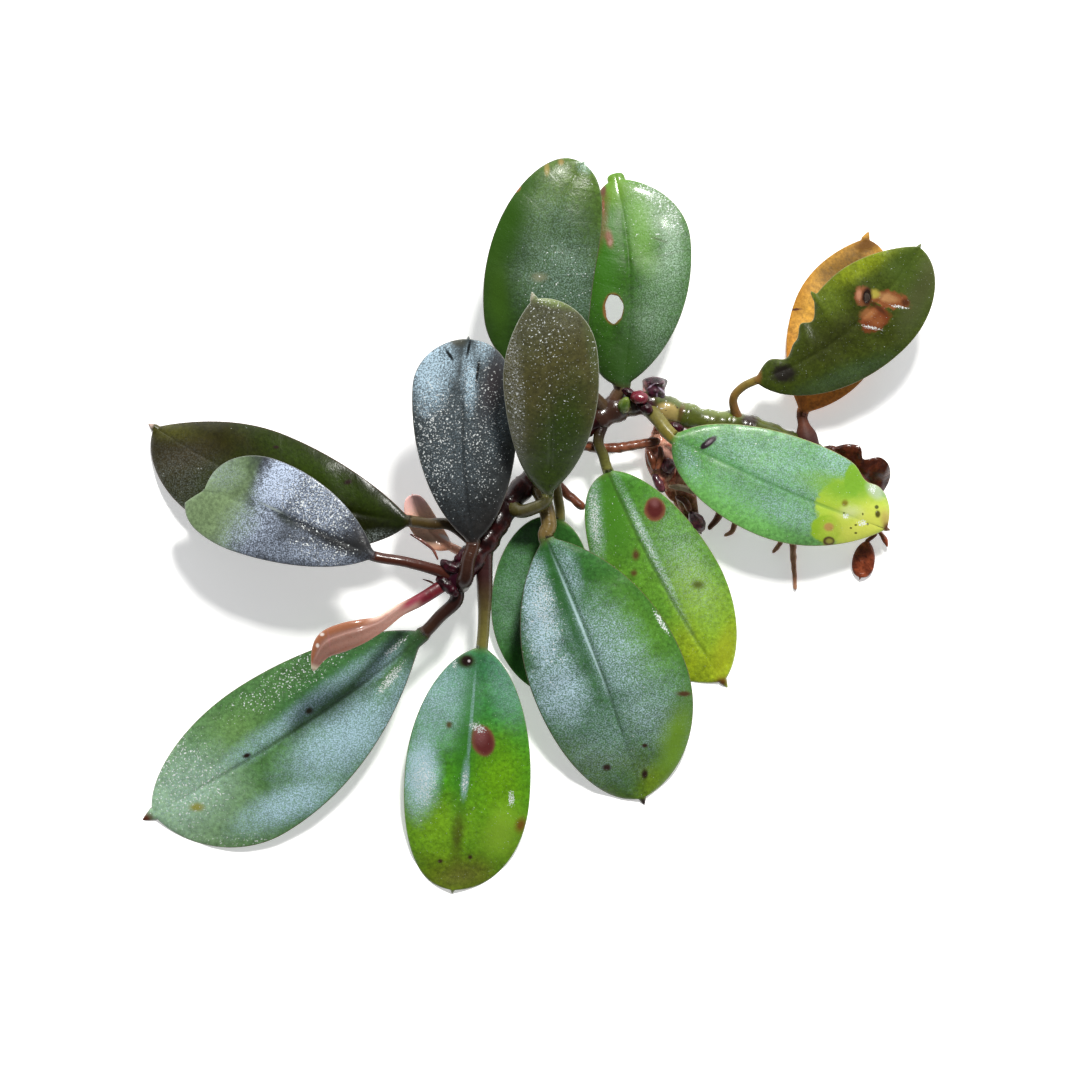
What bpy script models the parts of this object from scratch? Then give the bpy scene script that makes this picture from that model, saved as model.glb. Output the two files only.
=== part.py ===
"""A bucephalandra cutting: a creeping rhizome with its leaves, lying as it was picked.

Lengths are in millimetres until MM turns them into metres. X and Y are seen from above, and Z is the
height over the surface that the plant lies on. A route is a list of (x, y, z, radius) along a piece.
"""

import bpy
import numpy as np

MM = 0.001
GAP = 0.3  # clearance where two pieces meet
LEAF_SIDES = 12
TUBE_SIDES = 8
BLADE_RINGS = 12
STALK_STEP = 2.8  # distance between rings along a leaf's stalk
RHIZOME_STEP = 1.4
ROOT_STEP = 3.0
SMALL_STEP = 1.0
BLADE_HALF_THICK = 0.36
BLADE_START = 0.16  # share of the blade over which the round stalk flattens out
NOTCH_START = 0.72
NIB_LENGTH = 1.1  # the short point that ends each blade
NIB_HALF_WIDTH = 0.6
PARABOLA_POINTS = 160

GREEN = (0.05, 0.17, 0.03)
BRIGHT_GREEN = (0.13, 0.36, 0.05)
OLIVE = (0.05, 0.07, 0.02)
SLATE = (0.09, 0.15, 0.2)
PALE_GREEN = (0.16, 0.33, 0.17)
YELLOW = (0.5, 0.26, 0.03)
BROWN = (0.13, 0.04, 0.015)
DARK_BROWN = (0.05, 0.015, 0.01)
PINK = (0.5, 0.2, 0.13)
CRIMSON = (0.2, 0.01, 0.02)
RHIZOME_RED = (0.12, 0.03, 0.02)
RHIZOME_GREEN = (0.16, 0.22, 0.05)

MIDDLE_RHIZOME = [
    (13.6, 17.2, 5.4, 1.7),
    (11.6, 16.8, 6.0, 1.9),
    (9.6, 15.9, 6.5, 1.9),
    (7.6, 14.6, 6.8, 1.6),
]
LEFT_RHIZOME = [
    (8.6, 15.2, 6.7, 1.5),
    (5.0, 12.8, 7.1, 1.5),
    (0.8, 8.4, 8.0, 1.6),
    (-3.8, 3.6, 8.6, 1.7),
    (-7.4, -2.0, 9.4, 1.8),
    (-11.4, -7.0, 10.0, 2.0),
    (-12.8, -8.8, 10.2, 1.3),
]
RIGHT_RHIZOME = [
    (12.6, 17.0, 5.6, 1.7),
    (15.6, 17.2, 5.0, 1.8),
    (19.7, 15.8, 4.2, 1.8),
    (24.0, 14.7, 3.6, 1.6),
    (28.4, 14.1, 3.0, 1.8),
    (35.8, 11.4, 2.2, 1.6),
    (41.6, 8.6, 1.7, 1.6),
    (44.0, 7.2, 1.4, 1.0),
]


def smooth(x):
    x = np.clip(x, 0, 1)
    return x * x * (3 - 2 * x)


def spline(route, after, step):
    """Catmull-Rom curve through a route that heads for the point after its last one."""
    route = np.array(route, float)
    ends = np.vstack([2 * route[0] - route[1], route, after])
    spans = []
    for index in range(len(route) - 1):
        p0, p1, p2, p3 = ends[index : index + 4]
        count = max(1, round(np.linalg.norm((p2 - p1)[:3]) / step))
        t = np.linspace(0, 1, count, endpoint=False)[:, None]
        square = 2 * p0 - 5 * p1 + 4 * p2 - p3
        cube = 3 * p1 - p0 - 3 * p2 + p3
        spans.append(0.5 * (2 * p1 + (p2 - p0) * t + square * t**2 + cube * t**3))
    return np.vstack(spans + [route[-1:]])


def frames(points):
    """For each point of a line: its level direction to the left, and the direction up off the line."""
    along = np.gradient(points, axis=0)
    along /= np.linalg.norm(along, axis=1)[:, None]
    left = np.column_stack([-along[:, 1], along[:, 0], np.zeros(len(along))])
    left /= np.linalg.norm(left, axis=1)[:, None]
    return along, left, np.cross(along, left)


def material(name, colour):
    made = bpy.data.materials.new(name)
    made.use_nodes = True
    shader = made.node_tree.nodes["Principled BSDF"]
    shader.inputs["Base Color"].default_value = (*colour, 1)
    shader.inputs["Roughness"].default_value = 0.3
    shader.inputs["Metallic"].default_value = 0
    return made


def closed_body(name, rings, colour, tip=None):
    """One closed mesh from rings of points in order along the piece, with a fan over each end."""
    count, sides = rings.shape[:2]
    tip = rings[-1].mean(axis=0) if tip is None else tip
    points = np.vstack([rings.reshape(-1, 3), rings[0].mean(axis=0), tip])
    base_point, tip_point = len(points) - 2, len(points) - 1
    last = (count - 1) * sides
    faces = []
    for side in range(sides):
        after = (side + 1) % sides
        faces.append((base_point, after, side))
        for start in range(0, last, sides):
            faces.append((start + side, start + after, start + sides + after, start + sides + side))
        faces.append((tip_point, last + side, last + after))
    mesh = bpy.data.meshes.new(name)
    mesh.from_pydata((points * MM).tolist(), [], faces)
    mesh.shade_smooth()
    body = bpy.data.objects.new(name, mesh)
    body.data.materials.append(material(name, colour))
    bpy.context.scene.collection.objects.link(body)
    return body


def cut(body, cutter):
    """Takes a hidden cutter out of a body."""
    cutter.hide_render = True
    cutter.display_type = "WIRE"
    boolean = body.modifiers.new(cutter.name, "BOOLEAN")
    boolean.operation = "DIFFERENCE"
    boolean.solver = "EXACT"
    boolean.object = cutter


def tube(name, route, colour, step, swell=0, pitch=3, flat=1, grow=0):
    """A round or flattened tube along a route. Swell and pitch give the rings of old leaf scars."""
    line = spline(route, 2 * np.array(route[-1]) - np.array(route[-2]), step)
    points, radius = line[:, :3], line[:, 3]
    travelled = np.append(0, np.cumsum(np.linalg.norm(np.diff(points, axis=0), axis=1)))
    radius = radius * (1 + swell * np.cos(2 * np.pi * travelled / pitch)) + grow
    _, left, up = frames(points)
    turn = np.linspace(0, 2 * np.pi, TUBE_SIDES, endpoint=False)[:, None]
    rings = points[:, None] + radius[:, None, None] * (
        np.cos(turn) * left[:, None] + flat * np.sin(turn) * up[:, None]
    )
    rings[..., 2] = np.maximum(rings[..., 2], 0)
    return closed_body(name, rings, colour)


def side_width(t, side):
    """Half width of a blade: two curves that meet at its widest place. Higher powers are more pointed."""
    width, widest, base_power, tip_power = side
    to_base = np.clip((widest - t) / widest, 0, 1)
    to_tip = np.clip((t - widest) / (1 - widest), 0, 1)
    return width * (1 - to_base**2) ** base_power * (1 - to_tip**2) ** tip_power


def parabola(base, middle, tip):
    """Points evenly spaced in plan on the parabola through three points, as a function of the share t."""
    base, middle, tip = (np.array(point, float) for point in (base, middle, tip))
    control = 2 * middle - (base + tip) / 2
    t = np.linspace(0, 1, PARABOLA_POINTS)[:, None]
    line = (1 - t) ** 2 * base + 2 * t * (1 - t) * control + t**2 * tip
    travelled = np.append(0, np.cumsum(np.linalg.norm(np.diff(line[:, :2], axis=0), axis=1)))
    share = travelled / travelled[-1]
    return travelled[-1], lambda at: np.column_stack([np.interp(at, share, axis) for axis in line.T])


def leaf(
    name,
    stalk,
    blade,
    left,
    right,
    colour,
    fold=0.1,
    cup=0.16,
    roll=0,
    wave=0,
    notch=0,
    skew=0,
    bites=(),
    nib=1,
):
    """A leaf: a round stalk that flattens into a blade, as one loft of rings.

    The stalk is a route, and the blade runs through its base, middle and tip. Left and right give each
    half's (width, widest place, base power, tip power). Fold lifts both halves from the midrib, cup
    bends their margins down, roll tips the blade sideways, wave ripples the margins, notch hollows
    the tip, skew makes its left lobe the longer one, and each bite is (side, place, length, depth) of a
    gap in the margin.
    """
    length, at = parabola(*blade)
    blade_end = 1 - nib * NIB_LENGTH / length
    lead = np.append(at([BLADE_START])[0], stalk[-1][3])
    line = spline([*stalk, (*blade[0], stalk[-1][3])], lead, STALK_STEP)[:-1]
    t = blade_end * (1 - np.cos(np.linspace(0, np.pi, BLADE_RINGS))) / 2
    points = np.vstack([line[:, :3], at(t)])
    t = np.append(np.full(len(line), -1.0), t)
    stalk_radius = np.append(line[:, 3], np.full(BLADE_RINGS, stalk[-1][3]))
    along, level, up = frames(points)
    turn = np.linspace(0, 2 * np.pi, LEAF_SIDES, endpoint=False)
    across, off = np.cos(turn), np.sin(turn)
    flatten = smooth(t / BLADE_START)
    halves = []
    for sign, side in ((1, left), (-1, right)):
        half = side_width(np.clip(t / blade_end, 0, 1), side)
        for bitten, place, extent, depth in bites:
            if bitten == sign:
                half = half * (1 - depth * np.exp(-(((t - place) / extent) ** 2)))
        half = np.maximum(half, NIB_HALF_WIDTH * nib) * (t >= 0)
        halves.append((half**4 + (stalk_radius * (1 - flatten)) ** 4) ** 0.25)
    half = np.where(across > 0, halves[0][:, None], halves[1][:, None])
    thick = stalk_radius * (1 - flatten) + BLADE_HALF_THICK * flatten
    lift = half * (fold * np.abs(across) - cup * across**2 + roll * across)
    lift += wave * across**2 * np.sin(3 * 2 * np.pi * t[:, None] + across)
    forward = notch * (across**2 - 0.35) + skew * across
    forward = forward * smooth((t - NOTCH_START) / (1 - NOTCH_START))[:, None]
    rings = points[:, None] + (half * across)[..., None] * level[:, None]
    rings += forward[..., None] * along[:, None]
    rings[..., 2] += lift * flatten[:, None]
    rings[..., 2] = np.maximum(rings[..., 2], thick[:, None] * np.abs(off))
    rings += (thick[:, None] * off)[..., None] * up[:, None]
    tip = at([1.0])[0] - notch * 0.35 * along[-1]
    tip[2] = max(tip[2], BLADE_HALF_THICK)
    return closed_body(name, rings, colour, tip)


def rhizome():
    """The creeping stem in three stretches, each cut clear of the one before, and their grown cutters."""
    bodies = {}
    cutters = {}
    for name, route, colour in (
        ("rhizome_middle", MIDDLE_RHIZOME, RHIZOME_GREEN),
        ("rhizome_left", LEFT_RHIZOME, RHIZOME_RED),
        ("rhizome_right", RIGHT_RHIZOME, RHIZOME_GREEN),
    ):
        bodies[name] = tube(name, route, colour, RHIZOME_STEP, swell=0.07)
        cutters[name] = tube(name + "_cutter", route, colour, RHIZOME_STEP, swell=0.07, grow=GAP)
        cutters[name].hide_render = True
    cut(bodies["rhizome_left"], cutters["rhizome_middle"])
    cut(bodies["rhizome_right"], cutters["rhizome_middle"])
    return cutters


def left_crown_leaves():
    """Five leaves that leave the end of the left rhizome."""
    yield leaf(
        "leaf_left_back",
        [(-8.5, -2.7, 9.4, 0.8), (-12.3, 0.1, 10.9, 0.8), (-15.3, 0.3, 10.8, 0.8)],
        [(-18.1, 0.7, 10.0), (-36.8, 5.0, 6.4), (-54.9, 14.4, -0.4)],
        (8.1, 0.67, 0.7, 0.6),
        (7.7, 0.55, 0.8, 0.9),
        OLIVE,
    )
    yield leaf(
        "leaf_left_silver",
        [(-11.9, -7.3, 10.0, 0.9), (-14.3, -6.2, 11.6, 0.8), (-18.8, -5.0, 12.8, 0.75)],
        [(-23.2, -4.2, 13.0), (-34.6, 0.8, 12.6), (-47.0, 5.1, 8.6)],
        (6.9, 0.75, 0.7, 0.35),
        (7.2, 0.68, 0.8, 0.45),
        SLATE,
        cup=0.1,
        notch=1.25,
        skew=1.25,
        nib=0.4,
    )
    yield leaf(
        "leaf_lower_left",
        [(-11.8, -8.0, 9.9, 1.0), (-11.6, -10.4, 9.6, 0.95), (-13.9, -12.7, 9.2, 0.9)],
        [(-16.2, -15.1, 8.6), (-32.3, -27.4, 5.0), (-55.7, -41.3, -0.7)],
        (11.5, 0.68, 1.1, 0.65),
        (9.4, 0.56, 0.7, 0.62),
        GREEN,
        nib=1.6,
    )
    yield leaf(
        "leaf_bottom",
        [(-7.8, -2.8, 9.3, 1.2), (-7.6, -8.8, 8.8, 1.1), (-7.7, -13.0, 8.4, 0.85)],
        [(-8.0, -17.1, 7.8), (-10.1, -32.8, 4.4), (-12.2, -51.7, -0.6)],
        (9.4, 0.63, 0.6, 0.5),
        (8.5, 0.5, 0.6, 0.4),
        BRIGHT_GREEN,
        nib=0.6,
    )
    yield leaf(
        "leaf_silver_upright",
        [(-11.0, -7.9, 10.0, 1.1), (-10.3, -7.2, 11.8, 1.1), (-9.9, -4.8, 12.2, 1.0)],
        [(-9.2, -2.1, 12.2), (-10.6, 12.0, 15.8), (-9.8, 26.5, 18.0)],
        (7.2, 0.75, 0.7, 0.6),
        (7.6, 0.6, 0.6, 0.35),
        SLATE,
        roll=0.12,
        nib=0.4,
    )


def left_rhizome_leaves():
    """Three leaves that leave the left rhizome along its way."""
    yield leaf(
        "leaf_olive_upright",
        [(-4.8, 3.6, 8.7, 1.0), (-2.8, 2.1, 10.2, 0.95), (-0.7, 2.5, 11.8, 0.9), (0.9, 3.4, 13.2, 0.85)],
        [(1.2, 4.9, 14.4), (1.5, 18.8, 24.0), (-1.0, 32.5, 29.0)],
        (6.4, 0.55, 0.5, 0.8),
        (7.2, 0.7, 0.7, 0.55),
        OLIVE,
    )
    yield leaf(
        "leaf_centre",
        [(-0.6, 6.7, 8.1, 1.2), (0.8, 3.2, 9.6, 1.1), (1.4, 0.1, 10.2, 1.1)],
        [(1.0, -1.8, 10.4), (7.7, -17.4, 8.0), (14.8, -39.2, -0.4)],
        (11.5, 0.6, 0.8, 0.6),
        (10.2, 0.5, 0.7, 0.5),
        GREEN,
    )
    yield leaf(
        "leaf_behind_centre",
        [(1.7, 9.2, 7.7, 0.7), (2.6, 4.2, 7.4, 0.7)],
        [(2.9, 1.0, 7.0), (0.6, -10.4, 3.6), (1.8, -24.6, -0.4)],
        (6.7, 0.43, 0.5, 0.9),
        (7.3, 0.5, 0.45, 0.65),
        GREEN,
    )


def middle_crown_leaves():
    """Three leaves of the middle crown."""
    yield leaf(
        "leaf_top_left",
        [(9.2, 16.3, 6.8, 0.9), (7.4, 18.3, 9.0, 0.85), (5.5, 19.0, 10.2, 0.85)],
        [(3.2, 19.6, 11.0), (0.6, 35.8, 14.0), (6.4, 51.5, 13.0)],
        (8.3, 0.33, 0.9, 0.42),
        (7.2, 0.58, 0.4, 0.45),
        GREEN,
        nib=0.8,
    )
    yield leaf(
        "leaf_top_holed",
        [(9.9, 16.2, 6.5, 0.9), (10.8, 18.2, 7.2, 0.85)],
        [(11.5, 19.6, 7.6), (12.7, 34.4, 9.0), (10.6, 49.4, 6.6)],
        (6.6, 0.45, 0.4, 0.45),
        (8.9, 0.68, 0.8, 0.7),
        BRIGHT_GREEN,
        nib=2,
    )
    yield leaf(
        "leaf_lower_right",
        [(9.4, 15.6, 6.5, 0.8), (8.3, 12.0, 7.2, 0.75), (9.0, 9.9, 6.8, 0.75)],
        [(9.7, 7.6, 6.2), (16.9, -7.3, 3.6), (26.5, -22.7, -0.5)],
        (8.2, 0.55, 0.6, 0.65),
        (8.3, 0.65, 0.4, 0.8),
        BRIGHT_GREEN,
    )


def right_rhizome_leaves():
    """Three living leaves and two dead ones of the right rhizome."""
    yield leaf(
        "leaf_right_pale",
        [(15.2, 16.6, 5.2, 1.0), (16.6, 15.0, 7.6, 1.0)],
        [(19.0, 12.3, 8.6), (34.0, 5.2, 8.6), (49.3, -0.6, 4.4)],
        (7.7, 0.6, 0.6, 0.38),
        (7.3, 0.48, 0.5, 0.9),
        PALE_GREEN,
        bites=[(1, 0.83, 0.05, 0.16)],
        nib=0.6,
    )
    yield leaf(
        "leaf_far_right",
        [(28.0, 14.6, 3.2, 0.65), (27.2, 17.6, 5.6, 0.6), (28.3, 19.3, 6.6, 0.6)],
        [(30.4, 20.4, 7.2), (43.5, 27.4, 9.6), (53.8, 39.6, 12.0)],
        (7.1, 0.6, 0.8, 0.8),
        (7.2, 0.63, 0.65, 0.55),
        GREEN,
        bites=[(1, 0.17, 0.07, 0.65), (1, 0.26, 0.04, 0.3), (1, 0.37, 0.06, 0.34)],
    )
    yield leaf(
        "leaf_yellow",
        [(38.2, 10.2, 2.2, 1.4), (37.5, 12.6, 2.3, 1.5), (37.1, 14.4, 2.4, 0.8)],
        [(37.0, 16.0, 2.2), (41.6, 28.8, 1.5), (46.3, 41.4, -0.2)],
        (6.3, 0.55, 0.8, 0.9),
        (7.2, 0.43, 0.8, 0.4),
        YELLOW,
    )
    yield leaf(
        "dead_leaf_right",
        [(39.2, 9.8, 2.0, 0.8), (40.0, 10.5, 3.4, 0.6)],
        [(41.2, 10.7, 4.0), (44.8, 7.8, 4.0), (48.3, 4.2, 1.8)],
        (3.1, 0.66, 0.6, 0.5),
        (1.8, 0.5, 0.6, 0.6),
        DARK_BROWN,
        fold=0.5,
        cup=0.1,
        wave=0.5,
        bites=[(1, 0.4, 0.14, 0.75)],
        nib=0.5,
    )
    yield leaf(
        "dead_leaf_small",
        [(43.2, 7.4, 1.5, 0.5), (46.4, 3.6, 1.1, 0.35), (47.4, -0.6, 1.0, 0.3)],
        [(46.1, -2.1, 0.9), (45.6, -4.8, 0.8), (45.0, -7.6, 0.4)],
        (1.6, 0.62, 0.6, 0.35),
        (1.6, 0.55, 0.6, 0.35),
        BROWN,
        nib=0.4,
    )


def small_crown_parts():
    """The young leaf, scale leaves, bud and stump of the crowns."""
    young_route = [
        (-11.9, -7.3, 10.2, 0.9),
        (-16.6, -10.3, 12.5, 0.9),
        (-19.5, -11.8, 15.0, 0.9),
        (-22.2, -13.7, 17.0, 1.1),
        (-24.6, -14.7, 18.0, 1.6),
        (-27.0, -15.5, 18.0, 1.9),
        (-29.4, -16.5, 17.8, 1.8),
        (-30.7, -18.1, 17.6, 1.1),
        (-31.5, -20.2, 17.2, 0.3),
    ]
    yield tube("young_leaf", young_route, PINK, 2.4, flat=0.55)
    yield leaf(
        "scale_leaf_pink",
        [(-9.6, -4.4, 9.4, 0.6), (-11.4, -3.4, 8.6, 0.6)],
        [(-12.4, -2.9, 8.3), (-15.8, -0.2, 8.0), (-17.8, 4.6, 8.8)],
        (2.0, 0.55, 0.5, 0.35),
        (2.0, 0.55, 0.5, 0.35),
        PINK,
        fold=0.3,
        cup=0.1,
        nib=0.25,
    )
    bud_route = [(11.7, 16.2, 6.4, 0.8), (11.9, 16.9, 8.2, 0.9), (12.3, 17.9, 9.4, 0.4)]
    yield tube("bud_green", bud_route, BRIGHT_GREEN, SMALL_STEP)
    scale_route = [(14.2, 16.6, 5.8, 0.8), (14.3, 17.2, 8.0, 1.0), (14.7, 18.0, 9.6, 0.45)]
    yield tube("scale_crimson", scale_route, CRIMSON, SMALL_STEP)
    stump_route = [(16.0, 17.0, 4.9, 1.5), (16.2, 19.0, 5.3, 1.6), (16.3, 20.8, 5.7, 1.7)]
    yield tube("stem_stump", stump_route, DARK_BROWN, SMALL_STEP)


def dead_parts_and_roots():
    """The bare old stalk, the dead sheaths below the pale leaf, and the roots."""
    old_route = [
        (4.4, 12.4, 7.0, 0.75),
        (6.3, 11.3, 5.6, 0.7),
        (9.4, 10.9, 4.4, 0.7),
        (12.6, 11.2, 4.2, 0.7),
        (17.0, 12.0, 4.2, 0.6),
    ]
    yield tube("old_stalk", old_route, BROWN, 1.6)
    sheaths = [
        ([(16.4, 13.0, 2.0), (16.9, 9.0, 2.4), (18.0, 4.8, 2.2)], (2.2, 0.5, 0.5, 0.5), (1.9, 0.5, 0.5, 0.5)),
        ([(19.2, 12.4, 0.9), (19.2, 7.2, 0.8), (19.6, 2.2, 0.4)], (2.3, 0.5, 0.5, 0.5), (2.2, 0.5, 0.5, 0.5)),
        ([(21.8, 11.8, 3.0), (21.0, 5.4, 2.6), (22.8, -1.2, 0.8)], (1.0, 0.5, 0.5, 0.5), (1.9, 0.6, 0.5, 0.4)),
    ]
    for number, (blade, left, right) in enumerate(sheaths, 1):
        x, y, z = blade[0]
        stalk = [(x + 0.6, y + 2.8, 3.8, 0.6), (x + 0.3, y + 1.4, (z + 3.4) / 2, 0.5)]
        yield leaf(f"dead_sheath_{number}", stalk, blade, left, right, DARK_BROWN, fold=0.1, wave=0.2)
    yield tube("root_stub", [(0.8, 8.0, 7.0, 0.7), (3.4, 5.0, 4.6, 0.65), (6.4, 2.4, 4.4, 0.6)], BROWN, 1.6)
    roots = [
        [(34.9, 12.0, 2.2, 0.7), (35.2, 5.0, 0.8, 0.5), (35.6, -2.2, 0.5, 0.5), (36.0, -9.0, 0.3, 0.25)],
        [(32.6, 12.6, 2.4, 0.7), (33.4, 5.0, 0.8, 0.5), (34.0, -1.6, 0.5, 0.4), (32.8, -3.8, 0.3, 0.25)],
        [(28.6, 14.4, 2.8, 0.7), (28.2, 6.0, 0.8, 0.5), (27.4, -0.1, 0.5, 0.4), (26.0, -1.4, 0.3, 0.25)],
        [(25.4, 15.2, 3.2, 0.7), (26.0, 8.0, 0.8, 0.6), (25.4, 2.0, 0.8, 0.55), (23.8, -0.5, 0.6, 0.35)],
    ]
    for number, route in enumerate(roots, 1):
        yield tube(f"root_{number}", route, BROWN, ROOT_STEP)


def hole_cutter(name, centre, radii, tall):
    """A hidden upright cutter of oval outline."""
    turn = np.linspace(0, 2 * np.pi, LEAF_SIDES, endpoint=False)
    oval = np.column_stack([radii[0] * np.cos(turn), radii[1] * np.sin(turn), np.zeros(LEAF_SIDES)])
    rings = np.stack([oval - (0, 0, tall), oval + (0, 0, tall)]) + np.array(centre)
    return closed_body(name, rings, BROWN)


def build():
    for old in list(bpy.data.objects):
        bpy.data.objects.remove(old)
    rhizome_cutters = rhizome()
    groups = {
        left_crown_leaves: ["rhizome_left"],
        left_rhizome_leaves: ["rhizome_left"],
        middle_crown_leaves: ["rhizome_middle", "rhizome_left"],
        right_rhizome_leaves: ["rhizome_right"],
        small_crown_parts: ["rhizome_left", "rhizome_middle", "rhizome_right"],
        dead_parts_and_roots: ["rhizome_left", "rhizome_right"],
    }
    for group, carriers in groups.items():
        for piece in group():
            for carrier in carriers:
                cut(piece, rhizome_cutters[carrier])
    holed = bpy.data.objects["leaf_top_holed"]
    cut(holed, hole_cutter("hole_cutter", (10.5, 30.4, 8.5), (1.25, 2.0), 6))
    spoiled = bpy.data.objects["leaf_far_right"]
    cut(spoiled, hole_cutter("torn_cutter", (45.9, 31.9, 10), (0.8, 0.6), 6))


build()
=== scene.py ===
"""Looks of a bucephalandra cutting: its leaves, stems and roots in fine detail, as it lies after picking.

Lengths are in millimetres until MM turns them into metres. X and Y are seen from above, and Z is the
height over the surface that the plant lies on. A route is a list of (x, y, z, radius) along a piece.
"""

import bpy
import numpy as np
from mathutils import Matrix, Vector


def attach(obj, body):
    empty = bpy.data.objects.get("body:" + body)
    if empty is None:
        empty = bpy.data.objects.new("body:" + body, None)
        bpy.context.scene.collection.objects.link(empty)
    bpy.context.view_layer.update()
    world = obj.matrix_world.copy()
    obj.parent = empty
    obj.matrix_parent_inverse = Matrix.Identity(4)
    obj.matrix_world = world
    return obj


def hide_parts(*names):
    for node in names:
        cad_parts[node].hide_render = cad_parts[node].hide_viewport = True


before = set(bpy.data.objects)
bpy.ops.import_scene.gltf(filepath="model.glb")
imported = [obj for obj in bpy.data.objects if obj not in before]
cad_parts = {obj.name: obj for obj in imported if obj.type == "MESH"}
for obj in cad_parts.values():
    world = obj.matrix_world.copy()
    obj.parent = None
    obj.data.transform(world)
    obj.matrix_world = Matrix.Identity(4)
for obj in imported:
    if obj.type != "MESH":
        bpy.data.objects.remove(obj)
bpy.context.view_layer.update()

MM = 0.001
STEP = 0.14  # millimetres in a step of px
MIDDLE_STEP = (539, 526)
LEAF_SIDES = 96
BLADE_RINGS = 130
NIB_RINGS = 8
STALK_STEP = 0.5
TUBE_SIDES = 40
TUBE_STEP = 0.3
SCAR_PITCH = 3
HOLE_POINTS = 48
CUTTER_REACH = 6
BLADE_HALF_THICK = 0.36
BLADE_START = 0.16  # share of the blade over which the round stalk flattens out
NOTCH_START = 0.72
NIB_LENGTH = 1.1  # the short point that ends each blade
NIB_HALF_WIDTH = 0.6
PARABOLA_POINTS = 160
VEINS = 46.0  # side veins along a blade, in radians of their wave
VEIN_SLANT = 0.55
RIB_GATHER = 0.35  # how closely the grid lines gather at the midrib
RIB_HALF_WIDTH = 0.34
RIB_DEPTH = 0.12
KEEL_HEIGHT = 0.16
DIMMING = 0.64  # how much darker the tones are than they look, because the light is bright
SPECULAR = 0.25

MIDDLE_RHIZOME = [
    (13.6, 17.2, 5.4, 1.7), (11.6, 16.8, 6.0, 1.9), (9.6, 15.9, 6.5, 1.9), (7.6, 14.6, 6.8, 1.6),
]
LEFT_RHIZOME = [
    (8.6, 15.2, 6.7, 1.5), (5.0, 12.8, 7.1, 1.5), (0.8, 8.4, 8.0, 1.6), (-3.8, 3.6, 8.6, 1.7),
    (-7.4, -2.0, 9.4, 1.8), (-11.4, -7.0, 10.0, 2.0), (-12.8, -8.8, 10.2, 1.3),
]
RIGHT_RHIZOME = [
    (12.6, 17.0, 5.6, 1.7), (15.6, 17.2, 5.0, 1.8), (19.7, 15.8, 4.2, 1.8), (24.0, 14.7, 3.6, 1.6),
    (28.4, 14.1, 3.0, 1.8), (35.8, 11.4, 2.2, 1.6), (41.6, 8.6, 1.7, 1.6), (44.0, 7.2, 1.4, 1.0),
]


def smooth(x):
    """An S curve from 0 to 1."""
    x = np.clip(x, 0, 1)
    return x * x * (3 - 2 * x)


def hump(x, centre, width):
    """A bell curve of height 1 round a centre."""
    return np.exp(-(((x - centre) / width) ** 2))


def spline(route, after, step):
    """Catmull-Rom curve through a route that heads for the point after its last one."""
    route = np.array(route, float)
    ends = np.vstack([2 * route[0] - route[1], route, after])
    spans = []
    for index in range(len(route) - 1):
        p0, p1, p2, p3 = ends[index : index + 4]
        count = max(1, round(np.linalg.norm((p2 - p1)[:3]) / step))
        t = np.linspace(0, 1, count, endpoint=False)[:, None]
        square = 2 * p0 - 5 * p1 + 4 * p2 - p3
        cube = 3 * p1 - p0 - 3 * p2 + p3
        spans.append(0.5 * (2 * p1 + (p2 - p0) * t + square * t**2 + cube * t**3))
    return np.vstack(spans + [route[-1:]])


def frames(points):
    """For each point of a line: its direction, its level direction to the left, and up off the line."""
    along = np.gradient(points, axis=0)
    along /= np.linalg.norm(along, axis=1)[:, None]
    left = np.column_stack([-along[:, 1], along[:, 0], np.zeros(len(along))])
    left /= np.linalg.norm(left, axis=1)[:, None]
    return along, left, np.cross(along, left)


def parabola(base, middle, tip):
    """Points evenly spaced in plan on the parabola through three points, as a function of the share t."""
    base, middle, tip = (np.array(point, float) for point in (base, middle, tip))
    control = 2 * middle - (base + tip) / 2
    t = np.linspace(0, 1, PARABOLA_POINTS)[:, None]
    line = (1 - t) ** 2 * base + 2 * t * (1 - t) * control + t**2 * tip
    travelled = np.append(0, np.cumsum(np.linalg.norm(np.diff(line[:, :2], axis=0), axis=1)))
    share = travelled / travelled[-1]
    return travelled[-1], lambda at: np.column_stack([np.interp(at, share, axis) for axis in line.T])


def ripple(plan, seed, longest=13.0, shortest=4.0, count=9):
    """Gentle unevenness, about -1 to 1: a sum of sine waves of seeded directions and lengths."""
    random = np.random.default_rng(seed)
    heading = random.uniform(0, 2 * np.pi, count)
    length = random.uniform(shortest, longest, count)
    phase = random.uniform(0, 2 * np.pi, count)
    wave = 2 * np.pi * (plan[..., :1] * np.cos(heading) + plan[..., 1:2] * np.sin(heading)) / length
    return np.sin(wave + phase).sum(axis=-1) / np.sqrt(count)


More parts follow.
